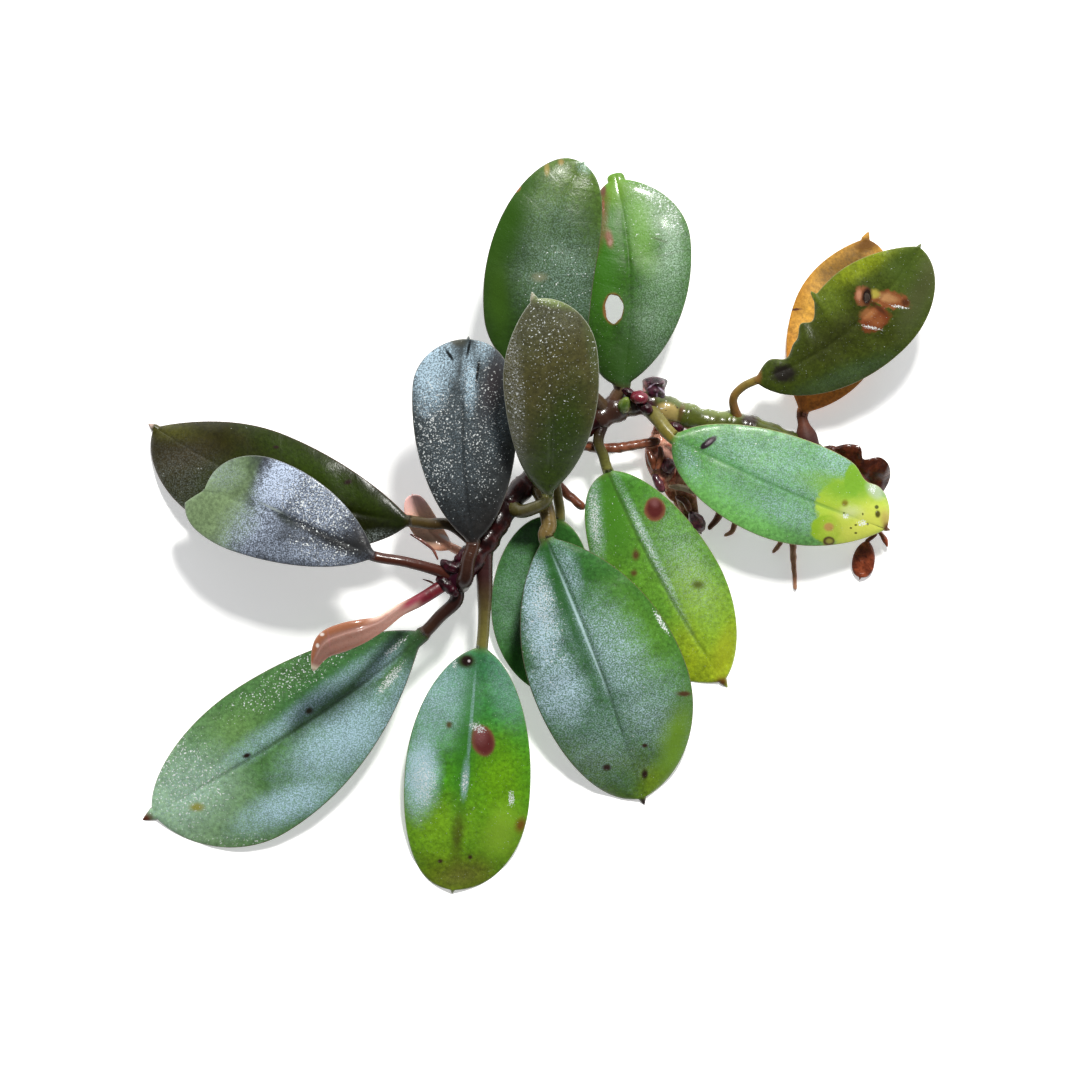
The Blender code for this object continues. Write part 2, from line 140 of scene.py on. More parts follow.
def skin(name, rings, tip, place, side):
    """One closed mesh from rings of points, with a fan over each end, and its leaf_place and leaf_side."""
    count, sides = rings.shape[:2]
    points = np.vstack([rings.reshape(-1, 3), rings[0].mean(axis=0), tip])
    ring = np.arange(count - 1)[:, None] * sides
    here = np.arange(sides)[None]
    after = (here + 1) % sides
    quads = np.stack([ring + here, ring + after, ring + sides + after, ring + sides + here], -1)
    last = (count - 1) * sides
    flat = np.arange(sides)
    base_fan = np.stack([np.full(sides, len(points) - 2), (flat + 1) % sides, flat], -1)
    tip_fan = np.stack([np.full(sides, len(points) - 1), last + flat, last + (flat + 1) % sides], -1)
    mesh = bpy.data.meshes.new(name)
    faces = quads.reshape(-1, 4).tolist() + base_fan.tolist() + tip_fan.tolist()
    mesh.from_pydata((points * MM).tolist(), [], faces)
    mesh.shade_smooth()
    place = np.vstack([place.reshape(-1, 3), place[0].mean(axis=0), place[-1].mean(axis=0)])
    side = np.concatenate([side.ravel(), [0, 0]])
    mesh.attributes.new("leaf_place", "FLOAT_VECTOR", "POINT").data.foreach_set("vector", place.ravel())
    mesh.attributes.new("leaf_side", "FLOAT", "POINT").data.foreach_set("value", side)
    piece = bpy.data.objects.new(name, mesh)
    bpy.context.scene.collection.objects.link(piece)
    return piece


def grown(piece, node, finish):
    """Gives a piece its finish, and puts it in place of its CAD node if it has one."""
    piece.data.materials.append(finish)
    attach(piece, "root")
    if node:
        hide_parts(node)
    return piece


def side_width(t, side):
    """Half width of a blade: two curves that meet at its widest place. Higher powers are more pointed."""
    width, widest, base_power, tip_power = side
    to_base = np.clip((widest - t) / widest, 0, 1)
    to_tip = np.clip((t - widest) / (1 - widest), 0, 1)
    return width * (1 - to_base**2) ** base_power * (1 - to_tip**2) ** tip_power


def leaf(
    name, stalk, blade, left, right, fold=0.1, cup=0.16, roll=0, wave=0, notch=0, skew=0, bites=(), nib=1,
    uneven=0.12, rib=1, flare=0.4, crumple=0, blunt=1,
):
    """A leaf: a round stalk that flattens into a blade.

    Each ring is an ellipse carried along the stalk's spline and then the blade's parabola. A ring's half
    width is side_width, less its bites, and its half thickness goes from the stalk's radius to the
    blade's. Fold lifts both halves from the midrib, cup bends the margins down, roll tips the blade
    sideways, wave ripples the margins, notch hollows the tip, skew makes its left lobe the longer one and
    crumple dents the blade with short waves. The nib is the short point at the tip, wider and rounder where
    blunt is over 1. The midrib is a bell-shaped channel on top and a keel below.
    leaf_place is (share along, millimetres across, millimetres to the margin), with the stalk at shares
    -1 to 0, and leaf_side is 1 on top and -1 below.
    """
    length, at = parabola(*blade)
    blade_end = 1 - nib * NIB_LENGTH / length
    lead = np.append(at([BLADE_START])[0], stalk[-1][3])
    line = spline([*stalk, (*blade[0], stalk[-1][3])], lead, STALK_STEP)[:-1]
    t = blade_end * (1 - np.cos(np.linspace(0, np.pi, BLADE_RINGS))) / 2
    nib_share = np.sin(np.linspace(0, np.pi / 2, NIB_RINGS + 1))[1:-1]
    t = np.concatenate([t, blade_end + (1 - blade_end) * nib_share])
    points = np.vstack([line[:, :3], at(t)])
    stalk_share = np.linspace(-1, 0, len(line), endpoint=False)
    nib_shrink = np.ones(len(points))
    nib_shrink[-len(nib_share) :] = (1 - nib_share**blunt) ** (0.8 / blunt)
    stalk_radius = np.append(line[:, 3], np.full(len(t), stalk[-1][3]))
    stalk_radius[: len(line)] *= 1 + flare * np.exp(-np.arange(len(line)) * STALK_STEP / 1.2)
    t = np.append(stalk_share, t)
    along, level, up = frames(points)
    turn = np.linspace(0, 2 * np.pi, LEAF_SIDES, endpoint=False)
    turn = turn + RIB_GATHER * np.sin(2 * turn)
    across, off = np.cos(turn), np.sin(turn)
    flatten = smooth(t / BLADE_START)
    halves = []
    for sign, side in ((1, left), (-1, right)):
        half = side_width(np.clip(t / blade_end, 0, 1), side)
        for bitten, centre, extent, depth in bites:
            if bitten == sign:
                half = half * (1 - depth * hump(t, centre, extent))
        half = np.maximum(half, NIB_HALF_WIDTH * nib * blunt) * (t >= 0) * nib_shrink
        halves.append((half**4 + (stalk_radius * (1 - flatten)) ** 4) ** 0.25)
    half = np.where(across > 0, halves[0][:, None], halves[1][:, None])
    thick = (stalk_radius * (1 - flatten) + BLADE_HALF_THICK * flatten) * nib_shrink
    lift = half * (fold * np.abs(across) - cup * across**2 + roll * across)
    lift += wave * across**2 * np.sin(3 * 2 * np.pi * t[:, None] + across)
    forward = notch * (across**2 - 0.35) + skew * across
    forward = forward * smooth((t - NOTCH_START) / (1 - NOTCH_START))[:, None] * np.minimum(1, half / 2.5)
    rings = points[:, None] + (half * across)[..., None] * level[:, None]
    rings += forward[..., None] * along[:, None]
    seed = sum(ord(letter) for letter in name)
    lift = lift + uneven * ripple(rings, seed) * np.minimum(1, half / 4)
    lift = lift + crumple * ripple(rings, seed + 1, 3.4, 1.2, 12) * np.minimum(1, half)
    rings[..., 2] += lift * flatten[:, None]
    rings[..., 2] = np.maximum(rings[..., 2], thick[:, None] * np.abs(off))
    body = off * thick[:, None]
    groove = hump(half * across, 0, RIB_HALF_WIDTH * (1.3 - 0.6 * np.clip(t, 0, 1))[:, None])
    groove *= (flatten * (1 - 0.8 * smooth((t - 0.6) / 0.35)))[:, None]
    body -= rib * groove * np.where(off > 0, RIB_DEPTH, KEEL_HEIGHT)
    rings += body[..., None] * up[:, None]
    rings[..., 2] = np.maximum(rings[..., 2], 0.02)
    tip = at([1.0])[0]
    tip[2] = max(tip[2], BLADE_HALF_THICK)
    place = np.stack(np.broadcast_arrays(t[:, None], half * across, half * (1 - np.abs(across))), -1)
    return skin(name, rings, tip, place, np.broadcast_to(off, rings.shape[:2]))


def stem(name, route, swell=0, flat=1, lumps=0, lump_size=2.5, scars=0, profile=None, step=TUBE_STEP):
    """A round or flattened stem along a route, closed and rounded at both ends.

    The radius follows the route, swollen by a cosine of the distance travelled, with a sharp ring at each
    scar and uneven lumps over its skin. A profile is a function of the turn that shapes the section.
    leaf_place is (share along, turn, radius), with turn 0 at the left and a quarter turn on top.
    """
    line = spline(route, 2 * np.array(route[-1]) - np.array(route[-2]), step)
    points, radius = line[:, :3], line[:, 3]
    travelled = np.append(0, np.cumsum(np.linalg.norm(np.diff(points, axis=0), axis=1)))
    radius = radius * (1 + swell * np.cos(2 * np.pi * travelled / SCAR_PITCH))
    since = (travelled + 0.31 * SCAR_PITCH) % SCAR_PITCH
    radius = radius * (1 + scars * (hump(since, 0.35, 0.14) - 0.7 * hump(since, 0.75, 0.16)))
    to_end = np.minimum(travelled, travelled[-1] - travelled)
    closing = np.clip(to_end / np.minimum(radius, 0.7), 0, 1)
    radius = radius * np.sqrt(1 - (1 - closing) ** 2 * 0.85)
    _, left, up = frames(points)
    turn = np.linspace(0, 2 * np.pi, TUBE_SIDES, endpoint=False)[None]
    share = (travelled / travelled[-1])[:, None]
    section = radius[:, None] * (profile(turn, share) if profile else 1)
    level, rise = section * np.cos(turn), flat * section * np.sin(turn)
    rings = points[:, None] + level[..., None] * left[:, None] + rise[..., None] * up[:, None]
    seed = sum(ord(letter) for letter in name)
    skewed = rings[..., :2] + rings[..., 2:] * (0.7, 0.9)
    swollen = 1 + lumps * ripple(skewed, seed, lump_size, lump_size / 3)
    rings = points[:, None] + (rings - points[:, None]) * swollen[..., None]
    rings[..., 2] = np.maximum(rings[..., 2], 0.02)
    place = np.stack(np.broadcast_arrays(share, turn, section), -1)
    return skin(name, rings, rings[-1].mean(axis=0), place, np.broadcast_to(np.sin(turn), rings.shape[:2]))


class Finish:
    """A material under construction. Each method adds nodes and gives back their output."""

    def __init__(self, name, roughness=0.3, coat=0.2, coat_roughness=0.08):
        self.material = bpy.data.materials.new(name)
        self.material.use_nodes = True
        self.tree = self.material.node_tree
        self.shader = self.tree.nodes["Principled BSDF"]
        self.shader.inputs["Roughness"].default_value = roughness
        self.shader.inputs["Specular IOR Level"].default_value = SPECULAR
        self.shader.inputs["Coat Weight"].default_value = coat
        self.shader.inputs["Coat Roughness"].default_value = coat_roughness
        place = self.add("TexCoord").outputs["Object"]
        self.plan = self.vector("SCALE", place, scale=1 / MM)
        leaf_place = self.add("Attribute", attribute_name="leaf_place").outputs["Vector"]
        parts = self.add("SeparateXYZ", {"Vector": leaf_place}).outputs
        self.along, self.across, self.rim = parts[0], parts[1], parts[2]
        self.side = self.add("Attribute", attribute_name="leaf_side").outputs["Fac"]
        coarse = self.minus(self.noise(0.45, 3.0, shift=11.0), 0.5)
        fine = self.minus(self.noise(1.8, 2.0, shift=12.0), 0.5)
        self.bent = self.plus(coarse, self.times(fine, 0.5))

    def add(self, kind, inputs=None, **settings):
        node = self.tree.nodes.new("ShaderNode" + kind)
        for name, value in settings.items():
            setattr(node, name, value)
        for name, value in (inputs or {}).items():
            self.put(node.inputs[name], value)
        return node

    def put(self, socket, value):
        """Links an output to a socket, or sets the socket's value. A tone comes in thousandths."""
        if isinstance(value, bpy.types.NodeSocket):
            self.tree.links.new(value, socket)
        elif isinstance(value, tuple) and socket.type == "RGBA":
            socket.default_value = (*(part / 1000 for part in value), 1)
        else:
            socket.default_value = value

    def math(self, operation, first, second=0.0, clamp=False):
        return self.add("Math", {0: first, 1: second}, operation=operation, use_clamp=clamp).outputs[0]

    def times(self, first, second):
        return self.math("MULTIPLY", first, second)

    def plus(self, first, second):
        return self.math("ADD", first, second)

    def minus(self, first, second):
        return self.math("SUBTRACT", first, second)

    def absolute(self, value):
        return self.math("ABSOLUTE", value)

    def vector(self, operation, first, second=None, scale=None):
        inputs = {0: first, 1: second, "Scale": scale}
        inputs = {name: value for name, value in inputs.items() if value is not None}
        node = self.add("VectorMath", inputs, operation=operation)
        return node.outputs["Value" if operation == "LENGTH" else "Vector"]

    def rise(self, value, low, high):
        """0 below low, 1 above high and smooth between them. It falls where high is under low."""
        inputs = {"Value": value, "From Min": low, "From Max": high}
        return self.add("MapRange", inputs, interpolation_type="SMOOTHSTEP").outputs["Result"]

    def mix(self, share, first, second):
        return self.add("Mix", {0: share, 6: first, 7: second}, data_type="RGBA").outputs[2]

    def noise(self, per_mm, detail=3.0, roughness=0.55, shift=0.0):
        place = self.vector("ADD", self.plan, (shift, shift * 0.7, shift * 1.3))
        inputs = {"Vector": place, "Scale": per_mm, "Detail": detail, "Roughness": roughness}
        return self.add("TexNoise", inputs).outputs["Fac"]

    def dots(self, spacing, radius, share):
        """Dots in plan: one in each cell of a flat pattern, kept where the cell's own number is low."""
        inputs = {"Vector": self.plan, "Scale": 1 / spacing}
        cells = self.add("TexVoronoi", inputs, feature="F1", voronoi_dimensions="2D")
        own = self.add("SeparateXYZ", {"Vector": cells.outputs["Color"]}).outputs
        size = self.times(self.plus(own[1], 0.45), radius / spacing)
        dot = self.rise(self.math("DIVIDE", cells.outputs["Distance"], size), 1.0, 0.5)
        kept = self.rise(self.minus(own[0], share), 0.02, -0.02)
        bright = self.plus(self.times(own[2], 0.6), 0.4)
        return self.times(self.times(dot, kept), bright)

    def blots(self, patches):
        """The strongest of several soft patches, each (centre, radii, turn, soft, ragged, strength)."""
        total = None
        for centre, radii, turn, soft, ragged, strength in patches:
            offset = self.vector("SUBTRACT", self.plan, (centre[0], centre[1], 0.0))
            flat = self.vector("MULTIPLY", offset, (1.0, 1.0, 0.0))
            inputs = {"Vector": flat, "Angle": -np.radians(turn)}
            turned = self.add("VectorRotate", inputs, rotation_type="Z_AXIS").outputs[0]
            scaled = self.vector("MULTIPLY", turned, (1 / radii[0], 1 / radii[1], 0.0))
            reach = self.plus(self.vector("LENGTH", scaled), self.times(self.bent, 2 * ragged))
            mask = self.times(self.rise(reach, 1 + soft, 1 - soft), strength)
            total = mask if total is None else self.math("MAXIMUM", total, mask)
        return total

    def painted(self, colour, patches):
        """A colour with patches over it, each (tone, patch)."""
        for tone, patch in patches:
            colour = self.mix(self.blots([patch]), colour, tone)
        return colour

    def bump(self, height, depth_mm):
        inputs = {"Height": height, "Distance": depth_mm * MM, "Strength": 1.0}
        self.put(self.shader.inputs["Normal"], self.add("Bump", inputs).outputs["Normal"])

    def done(self, colour):
        self.put(self.shader.inputs["Base Color"], self.vector("SCALE", colour, scale=DIMMING))
        return self.material


# Tones are (red, green, blue) in thousandths of full brightness.
# pale blue-white tone of the painted sheen, a painted reflection of the light
PAINTED_SHEEN_SILVER = (620, 780, 860)
# white of the leaves' own specks, and of the glints, which are painted highlights
SPECK_AND_GLINT_WHITE = (950, 1000, 1000)
RED_RIM = (160, 50, 30)
# a pale rim tone is a painted highlight along a leaf's margin
PALE_RIM_HIGHLIGHT = (450, 400, 300)
DARK_SPOT = (20, 8, 6)
BLACK = (0, 0, 0)


def leaf_finish(
    name, base, middle, tip, stalk_base, stalk_top, patches=(), painted_sheen=(), painted_sheen_tone=PAINTED_SHEEN_SILVER, painted_sheen_glitter=0.5,
    spots_and_painted_light=(), specks=0.3, speck_size=0.33, speck_areas=(), glints=(), rim=RED_RIM, rim_strength=0.6,
    rib_tone=None, roughness=0.3, coat=0.2,
):
    """A wet leaf: a tone that changes from base to tip, oval patches, a painted sheen, spots and specks.

    The painted sheen is a painted reflection of the light: one pale tone laid over soft oval patches. Its
    glitter share is gathered on the peaks of a fine noise, which makes the glitter. Specks are the peaks of
    a fine noise of their own, densest in the middle of their areas. Glints are painted white highlights.
    """
    look = Finish(name, roughness, coat, coat_roughness=0.1)
    drift = look.times(look.minus(look.noise(0.12, 3.0, shift=3.0), 0.5), 0.5)
    share = look.plus(look.along, drift)
    colour = look.mix(look.rise(share, 0.0, 0.5), base, middle)
    colour = look.mix(look.rise(share, 0.55, 0.98), colour, tip)
    mottle = look.rise(look.noise(0.9, 4.0, 0.65, shift=5.0), 0.7, 0.35)
    colour = look.mix(look.times(mottle, 0.25), colour, BLACK)
    slant = look.minus(look.times(look.along, VEINS), look.times(look.absolute(look.across), VEIN_SLANT))
    slant = look.plus(slant, look.bent)
    veins = look.rise(look.math("SINE", slant), 0.75, 1.0)
    colour = look.mix(look.times(veins, 0.1), colour, BLACK)
    colour = look.painted(colour, patches)
    fine = look.noise(5.2, 2.0, 0.6)
    speckle = look.minus(look.noise(1.9, 3.0, 0.7, shift=15.0), 0.5)
    colour = look.vector("SCALE", colour, scale=look.plus(look.times(speckle, 1.7), 1.0))
    top = look.rise(look.side, 0.0, 0.25)
    # painted sheen: a painted reflection of the light, pale and glittering, on the top side only
    if painted_sheen:
        glitter = look.rise(fine, 0.38, 0.78)
        thin = look.plus(look.times(glitter, 3.2 * painted_sheen_glitter), 1.0 - painted_sheen_glitter)
        amount = look.math("MULTIPLY", look.blots(painted_sheen), thin, clamp=True)
        colour = look.mix(look.times(amount, top), colour, painted_sheen_tone)
    # Spots lie over the sheen: mostly the leaf's own spots and stains, with a few painted highlights and
    # painted shade, each noted where it stands
    colour = look.painted(colour, spots_and_painted_light)
    if specks:
        density = look.blots(speck_areas) if speck_areas else 0.5
        peaks = look.noise(1 / speck_size, 1.0, 0.5, shift=7.0)
        peaks = look.plus(peaks, look.times(density, 0.2 * specks))
        colour = look.mix(look.times(look.rise(peaks, 0.81, 0.95), top), colour, SPECK_AND_GLINT_WHITE)
    # glints: painted white highlights
    if glints:
        spark = look.plus(look.noise(5.4, 2.0, 0.6, shift=9.0), look.times(look.blots(glints), 0.28))
        colour = look.mix(look.times(look.rise(spark, 0.68, 0.82), top), colour, SPECK_AND_GLINT_WHITE)
    if rib_tone:
        rib = look.rise(look.absolute(look.across), 0.35, 0.1)
        rib = look.times(rib, look.rise(look.along, 0.95, 0.6))
        colour = look.mix(look.times(rib, 0.5), colour, rib_tone)
    # Rim band along the margin: red rims are the margin's own colour, pale rims are a painted highlight
    # along it
    edge = look.times(look.rise(look.rim, 0.14, 0.03), rim_strength)
    colour = look.mix(edge, colour, rim)
    stalk = look.mix(look.rise(look.along, -0.75, 0.0), stalk_base, stalk_top)
    streaks = look.rise(look.noise(1.2, 3.0, 0.6, shift=2.0), 0.3, 0.7)
    stalk = look.mix(look.times(streaks, 0.45), stalk, look.mix(0.6, stalk, DARK_SPOT))
    colour = look.mix(look.rise(look.along, 0.03, -0.04), colour, stalk)
    height = look.plus(look.noise(3.3, 2.0, 0.65), look.times(look.noise(0.7, 2.0, shift=4.0), 2.0))
    height = look.minus(height, look.times(veins, 0.4))
    look.bump(height, 0.03)
    return look.done(colour)


def px(x, y):
    """Plan place in millimetres of a point seen from above, in steps right and down from a corner."""
    return ((x - MIDDLE_STEP[0]) * STEP, (MIDDLE_STEP[1] - y) * STEP)


def oval(x, y, long, wide, turn=0, strength=1, soft=0.8, ragged=0.3):
    """A soft oval patch for Finish.blots: its centre and radii in steps, and its turn in degrees."""
    return (px(x, y), (long * STEP, wide * STEP), turn, soft, ragged, strength)


def trail(height, *points):
    """A route at about one height from points (x, y, radius) seen from above, in the steps of px."""
    return [(*px(x, y), height, radius) for x, y, radius in points]


def left_crown_leaves():
    """Five leaves that leave the end of the left rhizome."""
    piece = leaf(
        "olive_back_leaf",
        [(-8.5, -2.7, 9.4, 0.8), (-12.3, 0.1, 10.9, 0.8), (-15.3, 0.3, 10.8, 0.8)],
        [(-18.1, 0.7, 10.0), (-36.8, 5.0, 6.4), (-54.9, 14.4, -0.4)],
        (8.1, 0.67, 0.7, 0.6), (7.7, 0.55, 0.8, 0.9),
    )
    look = leaf_finish(
        "olive_back_finish", (11, 14, 2), (24, 34, 2), (38, 29, 5), (40, 20, 6), (90, 60, 15),
        patches=[
            ((27, 51, 2), oval(318, 470, 70, 11, -32, 1, 0.9)),
            ((72, 72, 10), oval(172, 432, 26, 10, -20, 1, 0.9)),
            ((40, 30, 10), oval(178, 455, 34, 14, 10, 1, 0.9)),
        ],
        spots_and_painted_light=[
            (DARK_SPOT, oval(276, 447, 3, 1.6, soft=0.5)), (DARK_SPOT, oval(348, 482, 4, 2.4, 20, 1, 0.6)),
            ((600, 450, 380), oval(148, 424, 4, 4, soft=0.5)),
        ],
        # painted sheen: these ovals paint reflections of the light in a pale tone
        painted_sheen=[
            oval(180, 478, 34, 30, -30, 0.08, 0.9), oval(182, 510, 28, 8, -38, 0.14, 0.7),
            oval(365, 538, 26, 6, 8, 0.22, 0.7),
        ],
        painted_sheen_tone=(500, 580, 560), specks=0.75,
        speck_areas=[
            oval(186, 482, 44, 26, -30, 0.7, 0.7), oval(205, 424, 50, 4, -2, 0.5, 0.7),
            oval(370, 530, 24, 14, 10, 0.25, 0.7),
        ],
        rim_strength=0.5, painted_sheen_glitter=0.9, coat=0.05,
    )
    grown(piece, "leaf_left_back", look)
    piece = leaf(
        "silver_leaf",
        [(-11.9, -7.3, 10.0, 0.9), (-14.3, -6.2, 11.6, 0.8), (-18.8, -5.0, 12.8, 0.75)],
        [(-23.2, -4.2, 13.0), (-34.6, 0.8, 12.6), (-47.0, 5.1, 8.6)],
        (6.9, 0.75, 0.7, 0.35), (7.2, 0.68, 0.8, 0.45), cup=0.1, notch=2.0, skew=1.25, nib=0.2, rib=0.5,
    )
    look = leaf_finish(
        "silver_leaf_finish", (30, 30, 35), (45, 50, 60), (80, 90, 100), (80, 18, 10), (90, 24, 12),
        patches=[
            ((100, 170, 60), oval(238, 478, 14, 26, -30, 0.7, 0.6, 0.2)),
            ((200, 290, 140), oval(206, 505, 42, 56, -25, 1, 0.5, 0.5)),
        ],
        # painted sheen: these ovals paint reflections of the light in a pale tone
        painted_sheen=[
            oval(283, 480, 18, 36, -35, 1, 0.7, 0.4), oval(318, 500, 34, 34, -35, 0.42, 0.8, 0.4),
            oval(254, 530, 22, 34, -40, 0.38, 0.8, 0.4), oval(300, 553, 64, 11, -8, 0.34, 0.7),
            oval(222, 474, 18, 14, 0, 0.14, 0.8, 0.4),
        ],
        painted_sheen_tone=(660, 780, 1000), painted_sheen_glitter=0.75,
        spots_and_painted_light=[
            # The three dark ovals along the midrib are painted shade in its crease
            ((16, 17, 18), oval(322, 535, 46, 5, -27, 0.9, 0.8, 0.2)),
            ((25, 26, 26), oval(356, 546, 18, 9, -20, 0.75, 0.9, 0.2)),
            ((30, 40, 30), oval(285, 518, 14, 4, -40, 0.6, 0.8, 0.2)),
            ((420, 480, 460), oval(272, 508, 11, 1.1, -25, 0.8, 0.6, 0.2)),
        ],
        specks=1.3,
        speck_areas=[
            oval(318, 505, 52, 30, -30, 1, 0.6), oval(320, 550, 40, 16, -10, 0.9, 0.5),
            oval(250, 505, 60, 50, 0, 0.25, 0.6),
        ],
        rim=(300, 300, 280), rim_strength=0.35, speck_size=0.26,
    )
    grown(piece, "leaf_left_silver", look)
    piece = leaf(
        "lower_left_leaf",
        [(-11.8, -8.0, 9.9, 1.0), (-11.6, -10.4, 9.6, 0.95), (-13.9, -12.7, 9.2, 0.9)],
        [(-16.2, -15.1, 8.6), (-32.3, -27.4, 5.0), (-55.7, -41.3, -0.7)],
        (11.5, 0.68, 1.1, 0.65), (9.4, 0.56, 0.7, 0.62), nib=1.6,
    )
    look = leaf_finish(
        "lower_left_finish", (49, 130, 46), (113, 275, 83), (267, 460, 209), (25, 6, 4), (50, 20, 10),
        patches=[
            ((64, 200, 59), oval(330, 680, 70, 14, 36)), ((84, 245, 46), oval(385, 690, 30, 8, 58)),
            ((211, 397, 117), oval(232, 732, 30, 16, 34, 0.7, 1.0, 0.4)),
            ((310, 490, 278), oval(190, 800, 44, 34, 30, 1, 0.9)),
        ],
        spots_and_painted_light=[
            ((320, 320, 70), oval(196, 808, 7, 4, soft=0.7)),
            ((120, 35, 15), oval(143, 821, 8, 7, soft=0.6)),
            (DARK_SPOT, oval(246, 756, 4, 2.4, 20, 1, 0.6)),
            ((50, 45, 20), oval(309, 711, 4, 3, 20, 1, 0.6)),
        ],
        # painted sheen: these ovals paint reflections of the light in a pale tone; the glints below are
        # painted highlights
        painted_sheen=[
            oval(345, 738, 60, 26, 37, 0.82), oval(305, 708, 84, 8, 37, 0.55),
            oval(255, 745, 50, 10, 34, 0.35), oval(290, 803, 50, 16, 25, 0.75),
            oval(378, 668, 26, 8, 45, 0.5, 0.7), oval(185, 790, 46, 36, 34, 0.2, 0.9),
            oval(396, 690, 10, 26, -25, 0.4, 0.7),
        ],
        painted_sheen_tone=(550, 800, 950), painted_sheen_glitter=0.55, specks=1.25,
        speck_areas=[
            oval(185, 780, 50, 60, 34, 0.9, 0.6), oval(290, 680, 84, 18, 30, 0.9, 0.5),
            oval(230, 845, 56, 14, 0, 0.8, 0.5), oval(300, 750, 90, 50, 34, 0.2, 0.5),
        ],
        glints=[oval(396, 646, 16, 3, 42, 0.8, 0.6), oval(390, 679, 20, 5, 52, 0.9, 0.6)],
        rib_tone=(30, 70, 20), speck_size=0.28,
    )
    grown(piece, "leaf_lower_left", look)
    piece = leaf(
        "bottom_leaf",
        [(-7.8, -2.8, 9.3, 1.2), (-7.6, -8.8, 8.8, 1.1), (-7.7, -13.0, 8.4, 0.85)],
        [(-8.0, -17.1, 7.8), (-10.1, -32.8, 4.4), (-12.2, -51.7, -0.6)],
        (9.4, 0.63, 0.6, 0.5), (8.5, 0.5, 0.6, 0.4), nib=0.6,
    )
    look = leaf_finish(
        "bottom_finish", (48, 285, 81), (98, 388, 15), (166, 260, 7), (50, 15, 15), (220, 200, 45),
        patches=[
            ((166, 415, 7), oval(500, 790, 26, 46)), ((208, 440, 15), oval(440, 828, 34, 28)),
            ((124, 130, 21), oval(462, 876, 24, 12, 10, 0.8, 0.9)),
        ],
        spots_and_painted_light=[
            # the darker line along the midrib is painted shade in its groove
            ((40, 220, 20), oval(466, 740, 8, 70, -6, 0.7, 0.9, 0.1)),
            ((270, 500, 30), oval(502, 832, 16, 24, -20, 1, 0.9)),
            ((200, 100, 10), oval(521, 826, 5, 7, -20)),
            ((75, 55, 8), oval(457, 838, 5, 22, -4, 0.7, 0.9, 0.5)),
            ((50, 30, 10), oval(440, 862, 2.5, 2, soft=0.6)),
            ((50, 30, 10), oval(470, 858, 2, 2, soft=0.6)),
            ((250, 100, 50), oval(483, 741, 11.5, 15.5, 12, 1, 0.16, 0.08)),
            ((160, 30, 28), oval(484, 742, 9, 12.5, 12, 1, 0.3, 0.12)),
            # the light pink oval at the spot's upper left is a painted highlight
            ((360, 140, 140), oval(480, 735, 6, 8, 12, 0.6, 0.7)),
            ((120, 100, 40), oval(449, 725, 3, 3.4, soft=0.7)),
            ((50, 90, 30), oval(466, 661, 9, 7, 0, 1, 0.4, 0.1)),
            (DARK_SPOT, oval(467, 661, 5.5, 5, 0, 1, 0.3, 0.1)),
            # the tiny pale dot on the dark round spot is a painted highlight
            ((800, 700, 720), oval(469, 661, 1.3, 1.3, 0, 1, 0.5, 0.1)),
        ],
        # painted sheen: these ovals paint reflections of the light, including the bright line beside the
        # midrib; the glints below are painted highlights
        painted_sheen=[
            oval(438, 700, 28, 40, -22, 0.62, 0.9, 0.2), oval(506, 690, 15, 30, 20, 0.24, 0.9, 0.2),
            oval(421, 772, 15, 34, -4, 1.2), oval(424, 745, 14, 34, -6, 0.55, 0.8, 0.2),
            oval(471, 722, 1.8, 46, -5, 0.95, 0.6, 0.04), oval(465, 778, 3.4, 18, -5, 1.2, 0.6, 0.1),
        ],
        painted_sheen_tone=(550, 800, 900), painted_sheen_glitter=0.45, specks=0.9,
        speck_areas=[
            oval(425, 800, 24, 34, 0, 0.8, 0.5), oval(464, 800, 14, 30, 0, 0.7, 0.5),
            oval(510, 800, 10, 24, 0, 0.6, 0.5), oval(440, 700, 24, 30, 0, 0.3, 0.5),
        ],
        glints=[
            oval(424, 782, 13, 26, 0, 0.7), oval(465, 782, 3.4, 12, -5, 0.8, 0.6, 0.2),
            oval(511, 800, 3.5, 9, 0, 0.95, 0.5, 0.2), oval(478, 728, 9, 5, -30, 0.9, 0.6),
            oval(455, 665, 3, 5, 0, 0.8, 0.6),
        ],
        rim=(300, 300, 140), rim_strength=0.5, coat=0.4,
    )
    grown(piece, "leaf_bottom", look)
    piece = leaf(
        "silver_upright_leaf",
        [(-11.0, -7.9, 10.0, 1.1), (-10.3, -7.2, 11.8, 1.1), (-9.9, -4.8, 12.2, 1.0)],
        [(-9.2, -2.1, 12.2), (-10.6, 12.0, 15.8), (-9.8, 26.5, 18.0)],
        (7.2, 0.75, 0.7, 0.6), (7.6, 0.6, 0.6, 0.35), roll=0.12, nib=0.4,
    )
